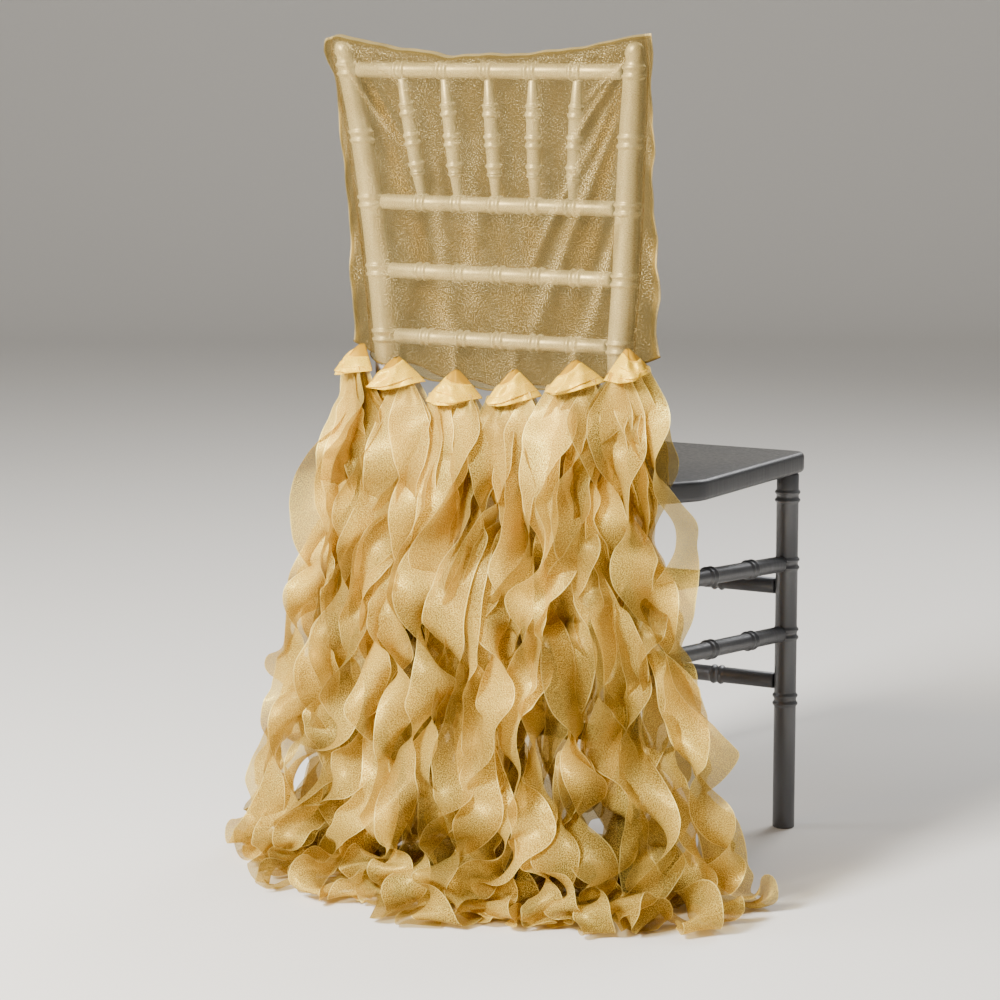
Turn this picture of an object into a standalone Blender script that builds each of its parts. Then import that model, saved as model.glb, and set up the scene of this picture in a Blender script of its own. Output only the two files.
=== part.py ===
# Chair back cover of sheer cloth with six bunches of curled strips, on the banquet chair it fits.
# Metres, +Z up. The chair faces +Y, so the cover's back is towards -Y, and the floor is at Z = 0.
# Run it with blender --background --python part.py, or from Blender's text editor.

import math

import bmesh
import bpy
import numpy as np
from mathutils import Vector
from mathutils.bvhtree import BVHTree

# Gaps and thicknesses
gap = 0.0003                 # between pieces that touch
clothThickness = 0.001
stripThickness = 0.0012
tubeResolution = 2           # bevel resolution of the turned rods, 8 sides

# Chair: the back post from its tip to its foot
# columns: height, half spacing across the chair, place front to back, radius
postTable = [
    (0.9270, 0.1815, -0.0576, 0.0040),
    (0.9240, 0.1811, -0.0571, 0.0080),
    (0.9150, 0.1799, -0.0556, 0.0108),
    (0.8957, 0.1772, -0.0518, 0.0112),
    (0.8224, 0.1671, -0.0403, 0.0125),
    (0.7507, 0.1603, -0.0326, 0.0130),
    (0.6745, 0.1540, -0.0270, 0.0130),
    (0.6016, 0.1474, -0.0250, 0.0130),
    (0.4500, 0.1460, -0.0160, 0.0130),
    (0.2200, 0.1560, -0.0200, 0.0130),
    (0.0120, 0.1680, -0.0340, 0.0125),
    (0.0000, 0.1680, -0.0340, 0.0125),
]
postRings = [0.8957, 0.8224, 0.7507, 0.6745, 0.6016, 0.336, 0.252, 0.155]
ringHeight = 0.006           # half height of a turned ring
ringRise = 0.002             # how far a ring stands out

railHeights = {"back_rail_top": 0.8957, "back_rail_second": 0.7507,
               "back_rail_third": 0.6745, "back_rail_lowest": 0.6016}
railRadius = 0.0085
railRings = {"open": [0.10, 0.30, 0.50, 0.70, 0.90],                  # as shares of a rail's length
             "spindled": [0.06, 0.255, 0.41, 0.59, 0.745, 0.94]}     # between the spindles

spindleTops = [-0.109, -0.0545, 0.0, 0.0545, 0.109]
spindleFeet = [-0.0945, -0.048, 0.0, 0.048, 0.0945]
spindleRadius = 0.0075
spindleRings = [0.14, 0.48, 0.86]
spindleSeat = 0.0015         # a leaning spindle's flat end from its rail

legPlace = (0.184, 0.333)    # centre of a front leg
legRadius = 0.013
legRings = [0.398, 0.318, 0.2345, 0.155]
seatTop = 0.449
seatThickness = 0.024
seatHalfWidth = 0.199
seatFront = 0.359
rungRadius = 0.0095
rungRings = [0.22, 0.5, 0.78]
rungHeights = {"upper": (0.318, 0.336), "lower": (0.2345, 0.252)}      # at the front, at the back
stretcherHeights = {"upper": 0.290, "lower": 0.176}

# Hood: a sleeve over the chair back, its two panels sewn at the top and both sides
hoodClear = 0.0045           # from a post's skin to the cloth's middle
seamHalfGap = 0.0009         # middle of each panel from the seam's plane
seamTable = [(0.935, 0.2005), (0.900, 0.1985), (0.840, 0.1945), (0.765, 0.192), (0.650, 0.190), (0.560, 0.190)]
topCorner = 0.934            # height of the top seam over the posts
topDip = 0.020               # how far the seam hangs between them
topRound = 0.016             # depth of the rounding under the top seam
hemMiddle = 0.554
hemRise = 0.028              # the hem's rise at hemReach from the middle
hemReach = 0.16
foldDepth = 0.005
mostInward = 0.003           # a fold comes no nearer than this to the rails
gatherStart = 0.72           # share of the drop below which the wraps gather the folds flat
seamSwing = 0.0035           # how far the side seams wave
panelMiddles = 15            # columns between the posts
panelRows = 8
topShares = (0.0, 0.14, 0.47, 1.0)     # rows in the rounding under the top seam, as shares of topRound

# Wraps and the heads of the strip bunches
# columns: place across the hood, height of the point, turn of its face in degrees
wrapTable = [
    (-0.174, 0.593, -40.0),
    (-0.119, 0.581, -6.0),
    (-0.044, 0.571, 0.0),
    (0.030, 0.575, 0.0),
    (0.105, 0.589, 6.0),
    (0.172, 0.604, 40.0),
]
wrapHalfWidth = 0.030
wrapHeight = 0.038
wrapBulge = 0.0255
wrapBack = 0.0095            # from the head's centre to a wrap's sides, which lie on the cloth
wrapLean = 0.06              # how much lower one side of a wrap hangs than the other, of its height
headOut = 0.0120             # centre of a head from the cloth's outer face
headHalfWidth = 0.0200
headHalfDepth = 0.0085
headTopDrop = 0.027          # below the wrap's point
headBottomDrop = 0.039

# Strips
stripColumns = 3
stripRows = 3
columnPitch = 0.0140         # in the head
rowPitch = 0.0053
rootHalfWidth = 0.0045
stripHalfWidth = 0.0205
footHalfWidth = 0.0188       # of an outer strip where it lies on the floor
widenLength = 0.07
curlLength = 0.235           # height of one full turn
stripGap = 0.0066            # least distance between two strips' middles
axisShift = 0.30             # how far a strip's middle winds round its own axis, of its half width
rootLength = 0.010           # straight down out of the head and past the wrap's edge
settleLength = 0.11          # fall in which a strip reaches its lane
curlSeed = 7
sweepStep = 0.0025
mostDrift = 0.0013           # in one step
mostSwing = 0.0016           # of a strip's edge, in one step
sectionStep = 0.050          # most height, and most turn in degrees, between two sections
sectionTurn = 44.0
closeRounds = 5
closeReach = 0.028           # half the height over which sections close up where two strips near
footBend = 0.026             # radius of the bend where a strip turns onto the floor
footLengths = (0.012, 0.038) # least and most, beyond the bend
footHeight = 0.075           # strips of the outer row face outwards below this
mostAstray = 0.006           # from its lane, for a strip that turns onto the floor
mostAskew = 0.14             # sine of its angle to the row
footLift = 0.008             # every other foot lies on its neighbours, this much higher
footEase = 0.05              # height over which an outer strip narrows to its foot
endHeights = (0.010, 0.014, 0.020)     # of a strip off the floor: least, more for each row, uneven share
postMargin = 0.0075          # strips keep this from a post's rings
rungMargin = 0.004
railMargin = 0.005
seatEdgeMargin = 0.012
rootCloseness = 0.72         # of stripGap, at the roots
rootEase = 0.05              # fall in which the roots' closeness grows to the whole gap
besideCloseness = 0.5        # of stripGap, for feet side by side
pullShare = 0.25             # of the way to its lane, in one step
turnShare = 0.6
easeShare = 0.6              # of the shortfall made good in one round
easeRounds = 16
billowSize = (0.006, 0.004, 0.007)
# outer row of strips round the chair back
# columns: height, half width of the row, depth of the row, pitch between rows, room for waviness
skirtTable = [
    (0.560, 0.176, 0.040, 0.0053, 0.000),
    (0.500, 0.192, 0.062, 0.0130, 0.003),
    (0.430, 0.205, 0.080, 0.0200, 0.009),
    (0.330, 0.226, 0.108, 0.0290, 0.014),
    (0.220, 0.257, 0.145, 0.0380, 0.014),
    (0.100, 0.277, 0.174, 0.0450, 0.008),
    (0.070, 0.278, 0.178, 0.0460, 0.000),
    (0.000, 0.278, 0.178, 0.0460, 0.000),
]
skirtBack = -0.030           # the row's ends lie this far behind the seat's rear edge
skirtHalfAngle = 86.0        # degrees from the middle of the back to the outermost strip


def lookUp(table, key, column):
    rows = sorted(table)
    return float(np.interp(key, [row[0] for row in rows], [row[column] for row in rows]))


def postAt(height):
    return tuple(lookUp(postTable, height, column) for column in (1, 2, 3))


def newMaterial(name, colour, roughness, metallic):
    material = bpy.data.materials.new(name)
    material.use_nodes = True
    shader = material.node_tree.nodes["Principled BSDF"]
    shader.inputs["Base Color"].default_value = (*colour, 1.0)
    shader.inputs["Roughness"].default_value = roughness
    shader.inputs["Metallic"].default_value = metallic
    material.diffuse_color = (*colour, 1.0)
    return material


def place(item, collection, parent, material=None):
    collection.objects.link(item)
    item.parent = parent
    if material:
        item.data.materials.append(material)
    return item


# A turned rod: a poly curve whose points carry the radius, from a list of (place, radius)
def addRod(name, stations, kit, material):
    curve = bpy.data.curves.new(name, "CURVE")
    curve.dimensions = "3D"
    curve.bevel_depth = 1.0
    curve.bevel_resolution = tubeResolution
    curve.use_fill_caps = True
    spline = curve.splines.new("POLY")
    spline.points.add(len(stations) - 1)
    for point, (spot, radius) in zip(spline.points, stations):
        point.co = (*spot, 1.0)
        point.radius = radius
    spline.use_smooth = True
    return place(bpy.data.objects.new(name, curve), kit["part"], kit["frame"], material)


# A straight rod between two points with turned rings at the given shares of its length
def ringedRod(name, start, end, radius, rings, kit, material):
    start = Vector(start)
    end = Vector(end)
    length = (end - start).length
    stations = [(start, radius)]
    for share in rings:
        middle = share * length
        for shift, rise in ((-ringHeight, 0.0), (0.0, ringRise), (ringHeight, 0.0)):
            stations.append((start.lerp(end, (middle + shift) / length), radius + rise))
    stations.append((end, radius))
    return addRod(name, stations, kit, material)


def addPosts(kit, material):
    for side, sign in (("left", -1.0), ("right", 1.0)):
        heights = {row[0]: 0.0 for row in postTable}
        for ring in postRings:
            heights.update({ring - ringHeight: 0.0, ring: ringRise, ring + ringHeight: 0.0})
        stations = []
        for height in sorted(heights):
            x, y, radius = postAt(height)
            stations.append(((sign * x, y, height), radius + heights[height]))
        addRod("back_post_" + side, stations, kit, material)


def addRails(kit, material):
    for name, height in railHeights.items():
        x, y, radius = postAt(height)
        reach = x - radius - ringRise - gap
        rings = railRings["spindled" if name in ("back_rail_top", "back_rail_second") else "open"]
        ringedRod(name, (-reach, y, height), (reach, y, height), railRadius, rings, kit, material)


def addSpindles(kit, material):
    top = railHeights["back_rail_top"] - railRadius - spindleSeat
    foot = railHeights["back_rail_second"] + railRadius + spindleSeat
    for index, (topX, footX) in enumerate(zip(spindleTops, spindleFeet)):
        start = (footX, postAt(foot)[1], foot)
        end = (topX, postAt(top)[1], top)
        ringedRod("spindle_%d" % (index + 1), start, end, spindleRadius, spindleRings, kit, material)


def addSeat(kit, material):
    x, y, radius = postAt(seatTop)
    rear = y + radius + 2 * gap
    # half of the seat's outline from the middle of the front to the middle of the back:
    # place across, place front to back, corner radius
    corners = [(seatHalfWidth, seatFront, 0.018), (seatHalfWidth + 0.001, 0.078, 0.012),
               (x + radius + 0.008, 0.026, 0.010), (x - 0.004, rear, 0.008)]
    half = []
    path = [(0.0, seatFront)] + [corner[:2] for corner in corners] + [(0.0, rear)]
    for index, (_, _, rounding) in enumerate(corners):
        before, here, after = (Vector(spot) for spot in path[index:index + 3])
        start = here + (before - here).normalized() * rounding
        end = here + (after - here).normalized() * rounding
        for share in (0.0, 0.33, 0.67, 1.0):
            half.append(start.lerp(here, share).lerp(here.lerp(end, share), share))
    outline = half + [Vector((-spot.x, spot.y)) for spot in reversed(half)]
    curve = bpy.data.curves.new("seat", "CURVE")
    curve.dimensions = "2D"
    curve.fill_mode = "BOTH"
    curve.extrude = seatThickness / 2
    spline = curve.splines.new("POLY")
    spline.points.add(len(outline) - 1)
    for point, spot in zip(spline.points, outline):
        point.co = (spot.x, spot.y, 0.0, 1.0)
    spline.use_cyclic_u = True
    seat = place(bpy.data.objects.new("seat", curve), kit["part"], kit["frame"], material)
    seat.location.z = seatTop - seatThickness / 2


def addLegsAndRungs(kit, material):
    legTop = seatTop - seatThickness - gap
    for side, sign in (("left", -1.0), ("right", 1.0)):
        x, y = sign * legPlace[0], legPlace[1]
        ringedRod("front_leg_" + side, (x, y, 0.0), (x, y, legTop), legRadius,
                  [ring / legTop for ring in sorted(legRings)], kit, material)
        for level, (frontHeight, backHeight) in rungHeights.items():
            postX, postY, postRadius = postAt(backHeight)
            start = Vector((sign * postX, postY, backHeight))
            end = Vector((x, y, frontHeight))
            along = (end - start).normalized()
            start += along * (postRadius + ringRise + gap)
            end -= along * (legRadius + ringRise + gap)
            ringedRod("side_rung_%s_%s" % (level, side), start, end, rungRadius, rungRings, kit, material)
    for level, height in stretcherHeights.items():
        reach = legPlace[0] - legRadius - gap
        ringedRod("front_stretcher_" + level, (-reach, legPlace[1], height), (reach, legPlace[1], height),
                  rungRadius, rungRings, kit, material)
        x, y, radius = postAt(height)
        reach = x - radius - ringRise
        ringedRod("rear_stretcher_" + level, (-reach, y, height), (reach, y, height),
                  rungRadius, rungRings, kit, material)


# Hood shape: heights of its edges, and the distance of a panel's middle from the seam's plane
def hemHeight(x):
    return hemMiddle + hemRise * (x / hemReach) ** 2


def seamHeight(x):
    share = min(abs(x) / 0.18, 1.0)
    dip = topDip * (1.0 - share ** 2)
    ear = 0.004 * max(0.0, (abs(x) - 0.18) / 0.02)
    return topCorner - dip - ear


def foldAt(x, height, panel):
    down = (topCorner - height) / (topCorner - hemMiddle)
    side = 1.0 if x >= 0 else -1.0
    # a tension fold runs from each top corner down and inwards, and soft folds fan out below it
    tension = math.exp(-((abs(x) - 0.165 + 0.30 * (topCorner - height)) / 0.016) ** 2)
    fan = math.sin(abs(x) * (92 - 26 * down) + 2.2 * down + 0.9 * side + panel)
    fold = 0.9 * tension * (1.0 - 0.4 * down) + 0.75 * fan * min(1.0, 0.35 + down)
    gathered = min(1.0, max(0.0, (down - gatherStart) / (0.95 - gatherStart)))
    return max(foldDepth * fold * (1.0 - 0.85 * gathered), -mostInward)


def panelColumns(height):
    x, _, radius = postAt(min(height, 0.905))
    skin = radius + hoodClear
    seam = lookUp(seamTable, height, 1)
    middle = [x * (-1.0 + 2.0 * index / (panelMiddles - 1)) for index in range(panelMiddles)]
    columns = [(spot, skin, 1.0 - abs(spot / x) ** 6) for spot in middle]
    side = [(x + skin * math.sin(math.radians(turn)), skin * math.cos(math.radians(turn)), 0.0)
            for turn in (32, 62, 90)]
    flange = [(side[-1][0] + (seam - side[-1][0]) * share, 0.0, 0.0) for share in (0.5, 1.0)]
    right = side + flange
    left = [(-spot, depth, slack) for spot, depth, slack in reversed(right)]
    return left + columns + right


def addPanel(name, sign, kit, material):
    drops = [share * topRound for share in topShares]
    grid = bmesh.new()
    columnCount = len(panelColumns(topCorner))
    lines = []
    for row in range(len(drops) + panelRows):
        line = []
        for column in range(columnCount):
            if row < len(drops):
                guess = topCorner - drops[row]
                x, depth, slack = panelColumns(guess)[column]
                height = seamHeight(x) - drops[row]
                share = 1.0 - drops[row] / topRound
                depth *= math.sqrt(max(0.0, 1.0 - share ** 2))
                slack *= 1.0 - share
            else:
                down = (row - len(drops) + 1) / panelRows
                guess = topCorner - topRound - down * (topCorner - topRound - hemMiddle)
                x, depth, slack = panelColumns(guess)[column]
                top = seamHeight(x) - topRound
                height = top + (hemHeight(x) - top) * down
                x, depth, slack = panelColumns(height)[column]
            away = max(depth + slack * foldAt(x, height, sign), seamHalfGap)
            wave = seamSwing * math.sin(height * 46 + x * 5) if column in (0, columnCount - 1) else 0.0
            y = postAt(height)[1] + wave + sign * away
            line.append(grid.verts.new((x, y, height)))
        lines.append(line)
    for upper, lower in zip(lines, lines[1:]):
        for index in range(columnCount - 1):
            grid.faces.new((upper[index], lower[index], lower[index + 1], upper[index + 1]))
    bmesh.ops.recalc_face_normals(grid, faces=grid.faces)
    mesh = bpy.data.meshes.new(name)
    grid.to_mesh(mesh)
    grid.free()
    mesh.shade_smooth()
    panel = place(bpy.data.objects.new(name, mesh), kit["part"], kit["frame"], material)
    wall = panel.modifiers.new("cloth", "SOLIDIFY")
    wall.thickness = clothThickness
    wall.offset = 0.0
    return panel


# Frame of one bunch: the head's centre, the way it faces and the way across it
def bunchFrame(index):
    x, top, turn = wrapTable[index]
    postX, postY, radius = postAt(top)
    angle = math.radians(turn)
    out = np.array([math.sin(angle), -math.cos(angle)])
    skin = radius + hoodClear + clothThickness / 2
    if abs(x) > postX - 0.005:
        base = np.array([math.copysign(postX, x), postY]) + out * skin
        base[0] += 0.35 * (x - base[0])
    else:
        base = np.array([x, postY - skin])
    return {"centre": base + out * headOut, "out": out, "across": np.array([-out[1], out[0]]), "top": top}


def addWrap(index, kit, material):
    frame = bunchFrame(index)
    shape = bmesh.new()
    turns = [math.radians(-90 + 30 * step) for step in range(7)]
    drops = [0.16, 0.45, 0.72, 1.0]
    lean = wrapLean * (1 if index % 2 else -1)
    lines = []
    for drop in drops:
        spread = drop ** 0.7
        line = []
        for turn in turns:
            across = wrapHalfWidth * spread * math.sin(turn)
            out = wrapBulge * math.sqrt(drop * abs(math.cos(turn))) - wrapBack
            sag = 1.0 - 0.15 * math.sin(turn) ** 2 + lean * math.sin(turn)
            spot = frame["centre"] + frame["across"] * across + frame["out"] * out
            line.append(shape.verts.new((*spot, frame["top"] - wrapHeight * drop * sag)))
        lines.append(line)
    spot = frame["centre"] - frame["out"] * 0.9 * wrapBack
    tip = shape.verts.new((*spot, frame["top"]))
    for left, right in zip(lines[0], lines[0][1:]):
        shape.faces.new((tip, left, right))
    for upper, lower in zip(lines, lines[1:]):
        for step in range(len(turns) - 1):
            shape.faces.new((upper[step], lower[step], lower[step + 1], upper[step + 1]))
    bmesh.ops.recalc_face_normals(shape, faces=shape.faces)
    name = "wrap_%d" % (index + 1)
    mesh = bpy.data.meshes.new(name)
    shape.to_mesh(mesh)
    shape.free()
    mesh.shade_smooth()
    wrap = place(bpy.data.objects.new(name, mesh), kit["part"], kit["frame"], material)
    wall = wrap.modifiers.new("cloth", "SOLIDIFY")
    wall.thickness = clothThickness
    wall.offset = 0.0


# Closest points of two sets of segments in the plane: distance, point on the first, point on the second
def closestPoints(startA, endA, startB, endB):
    def onto(spot, start, end):
        run = end - start
        share = np.sum((spot - start) * run, -1) / np.maximum(np.sum(run * run, -1), 1e-12)
        return start + np.clip(share, 0.0, 1.0)[..., None] * run

    firsts = [startA, endA, onto(startB, startA, endA), onto(endB, startA, endA)]
    seconds = [onto(startA, startB, endB), onto(endA, startB, endB), startB, endB]
    distance = np.stack([np.linalg.norm(a - b, axis=-1) for a, b in zip(firsts, seconds)])
    best = np.argmin(distance, 0)
    nearest = np.arange(len(best))
    return distance.min(0), np.stack(firsts)[best, nearest], np.stack(seconds)[best, nearest]


# What the strips keep clear of at a height: segments (start, end, distance)
def obstaclesAt(height):
    postX, postY, radius = postAt(height)
    found = []
    for sign in (-1.0, 1.0):
        post = (sign * postX, postY)
        found.append((post, post, radius + ringRise + postMargin))
        for frontHeight, backHeight in rungHeights.values():
            if abs(height - backHeight) < 0.03:
                found.append((post, (sign * legPlace[0], legPlace[1]), rungRadius + ringRise + rungMargin))
        if abs(height - seatTop + seatThickness / 2) < seatThickness:
            found.append(((sign * 0.195, 0.085), (sign * 0.160, 0.032), seatEdgeMargin))
    # the chair back's own plane, so that no strip comes through between the posts
    found.append(((-postX, postY), (postX, postY), rungRadius + ringRise + railMargin))
    return found


# Where the strips of each row hang at a height: place and facing, evenly spaced along the row
def lanesAt(height, row, order):
    width, depth, pitch = (lookUp(skirtTable, height, column) for column in (1, 2, 3))
    lane = np.zeros((len(row), 2))
    facing = np.zeros(len(row))
    sweep = np.radians(np.linspace(-skirtHalfAngle, skirtHalfAngle, 121))
    for level in range(stripRows):
        across, back = width - pitch * level, depth - pitch * level
        path = np.stack([np.sin(sweep) * across, skirtBack - np.cos(sweep) * back], 1)
        length = np.concatenate([[0.0], np.cumsum(np.linalg.norm(np.diff(path, axis=0), axis=1))])
        share = (order[row == level] + 0.5) / (stripColumns * len(wrapTable))
        turn = np.interp(share * length[-1], length, sweep)
        along = np.stack([np.cos(turn) * across, np.sin(turn) * back], 1)
        along /= np.linalg.norm(along, axis=1)[:, None]
        out = np.stack([along[:, 1], -along[:, 0]], 1)
        forward = np.where(order[row == level] % 2 == 1, footLift / 2, -footLift / 2)[:, None]
        middle = np.stack([np.sin(turn) * across, skirtBack - np.cos(turn) * back], 1)
        lane[row == level] = middle + out * forward
        facing[row == level] = np.arctan2(along[:, 1], along[:, 0])
    return lane, facing


# The heads' roots, one row of the table for each strip
def stripRoots():
    strips = []
    for bunch in range(len(wrapTable)):
        frame = bunchFrame(bunch)
        for column in range(stripColumns):
            for row in range(stripRows):
                spot = frame["across"] * (column - 1) * columnPitch + frame["out"] * (1 - row) * rowPitch
                strips.append({"bunch": bunch, "row": row, "order": bunch * stripColumns + column,
                               "root": frame["centre"] + spot,
                               "facing": math.atan2(frame["across"][1], frame["across"][0]),
                               "start": frame["top"] - (headTopDrop + headBottomDrop) / 2})
    return strips


# Turn of every strip in each step down, with a change of hand on the way. The whole turn of an
# outer strip is a number of half turns, so that it ends facing outwards.
def curlSteps(heights, start, row, noise):
    count = len(start)
    hand = np.where(noise.rand(count) < 0.5, -1.0, 1.0)
    rate = 2 * math.pi / curlLength * noise.uniform(0.80, 1.15, count)
    flip = noise.uniform(0.18, 0.42, count)
    steps = np.zeros((len(heights), count))
    for step, height in enumerate(heights):
        speed = rate * np.clip((start - height - 0.015) / 0.06, 0.0, 1.0)
        speed = speed * np.tanh((height - flip) / 0.02)
        speed = speed * np.where(row == 0, np.clip((height - footHeight) / 0.03, 0.0, 1.0), 1.0)
        steps[step] = hand * speed * sweepStep
    total = steps.sum(0)
    goal = np.where(row == 0, np.round(total / math.pi) * math.pi, total)
    return steps + np.abs(steps) / np.abs(steps).sum(0) * (goal - total)


# Lets the strips down from their heads in small steps. At each height every strip is a segment in
# the plane. It turns at its curl's rate, drifts to its lane in the skirt, and keeps its distance
# from the others and from the chair. No step moves a strip further than that distance allows.
def hangStrips():
    noise = np.random.RandomState(curlSeed)
    strips = stripRoots()
    root, start, row, order, facing = (np.array([strip[key] for strip in strips])
                                       for key in ("root", "start", "row", "order", "facing"))
    heights = np.arange(start.max(), 0.0, -sweepStep)
    curl = curlSteps(heights, start, row, noise)
    wave = noise.uniform(0, 2 * math.pi, (len(strips), 4))
    first, second = np.triu_indices(len(strips), 1)
    centre = root.copy()
    angle = facing.copy()
    turned = facing.copy()
    track = []
    for step, height in enumerate(heights):
        fallen = np.maximum(start - rootLength - height, 0.0)
        free = (fallen > 0.0) * 1.0
        settle = np.clip(fallen / settleLength, 0.0, 1.0)
        settle = settle * settle * (3 - 2 * settle)
        widen = np.clip(fallen / widenLength, 0.0, 1.0) ** 0.8
        half = rootHalfWidth + (stripHalfWidth - rootHalfWidth) * widen
        foot = np.where(row == 0, np.clip((height - footHeight) / footEase, 0.0, 1.0), 1.0)
        half = half + (footHalfWidth - stripHalfWidth) * (1.0 - foot)
        lane, laneFacing = lanesAt(height, row, order)
        sway = np.stack([np.sin(height * 31 + wave[:, 0]) + 0.5 * np.sin(height * 57 + wave[:, 1]),
                         np.sin(height * 29 + wave[:, 2]) + 0.5 * np.sin(height * 61 + wave[:, 3])], 1)
        turned = turned + curl[step]
        goalAngle = turned + settle * (laneFacing - facing)
        off = (axisShift * (half - rootHalfWidth) * foot)[:, None]
        off = off * np.stack([np.cos(goalAngle), np.sin(goalAngle)], 1)
        goal = root + settle[:, None] * (lane + lookUp(skirtTable, height, 4) * sway + off - root)
        lastCentre, lastAngle = centre, angle
        mostMove = (mostDrift * free)[:, None]
        mostTurn = mostSwing / half * free
        least = stripGap * np.clip(rootCloseness + fallen.min() / rootEase, rootCloseness, 1.0)
        blocks = obstaclesAt(height)
        apart = np.linalg.norm(centre[first] - centre[second], axis=1)
        near = apart < half[first] + half[second] + 2 * stripGap
        one, two = first[near], second[near]
        sideBySide = (row[one] == 0) & (row[two] == 0) & (height < footHeight)
        least = np.where(sideBySide, besideCloseness * least, least)
        centre = centre + pullShare * (goal - centre)
        angle = angle + turnShare * (goalAngle - angle)
        for _ in range(easeRounds):
            arm = half[:, None] * np.stack([np.cos(angle), np.sin(angle)], 1)
            low, high = centre - arm, centre + arm
            distance, pointA, pointB = closestPoints(low[one], high[one], low[two], high[two])
            short = np.maximum(least - distance, 0.0)
            push = 0.5 * short[:, None] * (pointA - pointB) / np.maximum(distance, 1e-6)[:, None]
            shove = np.zeros_like(centre)
            twist = np.zeros(len(strips))
            for who, spot, sign in ((one, pointA, 1.0), (two, pointB, -1.0)):
                lever = spot - centre[who]
                np.add.at(shove, who, sign * push)
                np.add.at(twist, who, sign * (lever[:, 0] * push[:, 1] - lever[:, 1] * push[:, 0]))
            for begin, finish, keep in blocks:
                begin = np.broadcast_to(np.array(begin), low.shape)
                finish = np.broadcast_to(np.array(finish), low.shape)
                distance, pointA, pointB = closestPoints(low, high, begin, finish)
                shortBy = np.maximum(keep - distance, 0.0)
                push = shortBy[:, None] * (pointA - pointB) / np.maximum(distance, 1e-6)[:, None]
                lever = pointA - centre
                shove += push
                twist += lever[:, 0] * push[:, 1] - lever[:, 1] * push[:, 0]
            centre = centre + easeShare * shove
            angle = angle + twist / half ** 2
            move = centre - lastCentre
            size = np.linalg.norm(move, axis=1)[:, None]
            centre = lastCentre + move * np.minimum(1.0, mostMove / np.maximum(size, 1e-9))
            angle = lastAngle + np.clip(angle - lastAngle, -mostTurn, mostTurn)
        track.append((height, centre, angle, half))
    # an outer strip turns onto the floor unless the others have kept it from its place
    astray = np.linalg.norm(centre - lane, axis=1)
    askew = np.abs(np.sin(angle - laneFacing))
    for index, strip in enumerate(strips):
        strip["lies"] = strip["row"] == 0 and astray[index] < mostAstray and askew[index] < mostAskew
    return strips, track


# A slow waviness of the whole skirt, the same for every strip, so that none crosses another
def billow(spot):
    x, y, z = spot
    fade = min(1.0, max(0.0, (0.50 - z) / 0.10)) * min(1.0, max(0.0, (z - 0.06) / 0.10))
    return Vector((x + billowSize[0] * fade * math.sin(z * 38 + y * 16),
                   y + billowSize[1] * fade * math.sin(z * 33 + x * 14 + 1.0),
                   z + billowSize[2] * fade * math.sin(x * 42 + y * 26 + z * 9)))


# One strip as a loft of four-cornered sections: its middle, the way across it and its facing
def loftStrip(shape, sections):
    rings = []
    for middle, across, facing in sections:
        corners = []
        for along, through in ((-1, -1), (1, -1), (1, 1), (-1, 1)):
            spot = middle + across * along + facing * (through * stripThickness / 2)
            corners.append(shape.verts.new(spot))
        rings.append(corners)
    for upper, lower in zip(rings, rings[1:]):
        for side in range(4):
            after = (side + 1) % 4
            shape.faces.new((upper[side], upper[after], lower[after], lower[side]))
    shape.faces.new(rings[0][::-1])
    shape.faces.new(rings[-1])


# Sections of one strip from its root to its end, closer together where it turns faster and at the
# heights in close, where it comes near another strip
def stripSections(strip, index, track, close):
    noise = np.random.RandomState(100 + index)
    if strip["lies"]:
        end = footBend + stripThickness / 2 + footLift * (strip["order"] % 2)
    else:
        end = endHeights[0] + endHeights[1] * strip["row"] + endHeights[2] * noise.rand()
    drop = -np.array([step[0] for step in track])
    x, y, turn, half = (np.array(values) for values in zip(*[
        (step[1][index, 0], step[1][index, 1], step[2][index], step[3][index]) for step in track]))
    fine = np.linspace(rootLength - strip["start"], -end, 240)
    turning = np.abs(np.diff(np.interp(fine, drop, turn))) / math.radians(sectionTurn)
    effort = np.maximum(turning, np.diff(fine) / sectionStep)
    for height in close:
        effort *= 1.0 + 0.7 * (np.abs(fine[1:] + height) < closeReach)
    effort = np.concatenate([[0.0], np.cumsum(effort)])
    count = int(math.ceil(effort[-1]))
    sections = []
    cuts = np.interp(np.linspace(0.0, effort[-1], count + 1), effort, fine)
    for cut in [-strip["start"], *cuts]:
        spot = [float(np.interp(cut, drop, values)) for values in (x, y, turn, half)]
        reach = Vector((math.cos(spot[2]), math.sin(spot[2]), 0.0)) * spot[3]
        middle = Vector((spot[0], spot[1], -cut))
        low, high = billow(middle - reach), billow(middle + reach)
        ahead = billow(middle - Vector((0, 0, 0.004))) - billow(middle + Vector((0, 0, 0.004)))
        across = (high - low) / 2
        sections.append([(high + low) / 2, across, ahead.cross(across).normalized()])
    if strip["lies"]:
        middle, across, facing = sections[-1]
        across = Vector((across.x, across.y, 0.0)).normalized() * across.length
        out = Vector((across.y, -across.x, 0.0)).normalized()
        if out.dot(Vector((middle.x, middle.y - skirtBack, 0.0))) < 0:
            out = -out
        side = 1.0 if facing.dot(out) > 0 else -1.0
        top = Vector((middle.x, middle.y, end))
        sections[-1] = [top, across, out * side]
        for turn in (30, 60, 90):
            bend = math.radians(turn)
            spot = top + out * footBend * (1 - math.cos(bend)) - Vector((0, 0, footBend * math.sin(bend)))
            sections.append([spot, across, (out * math.cos(bend) + Vector((0, 0, math.sin(bend)))) * side])
        length = footLengths[0] + (footLengths[1] - footLengths[0]) * noise.rand()
        sections.append([sections[-1][0] + out * length, across, sections[-1][2]])
    return sections


def stripMesh(sections):
    shape = bmesh.new()
    loftStrip(shape, sections)
    bmesh.ops.recalc_face_normals(shape, faces=shape.faces)
    bmesh.ops.triangulate(shape, faces=shape.faces)
    shape.faces.ensure_lookup_table()
    return shape


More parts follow.
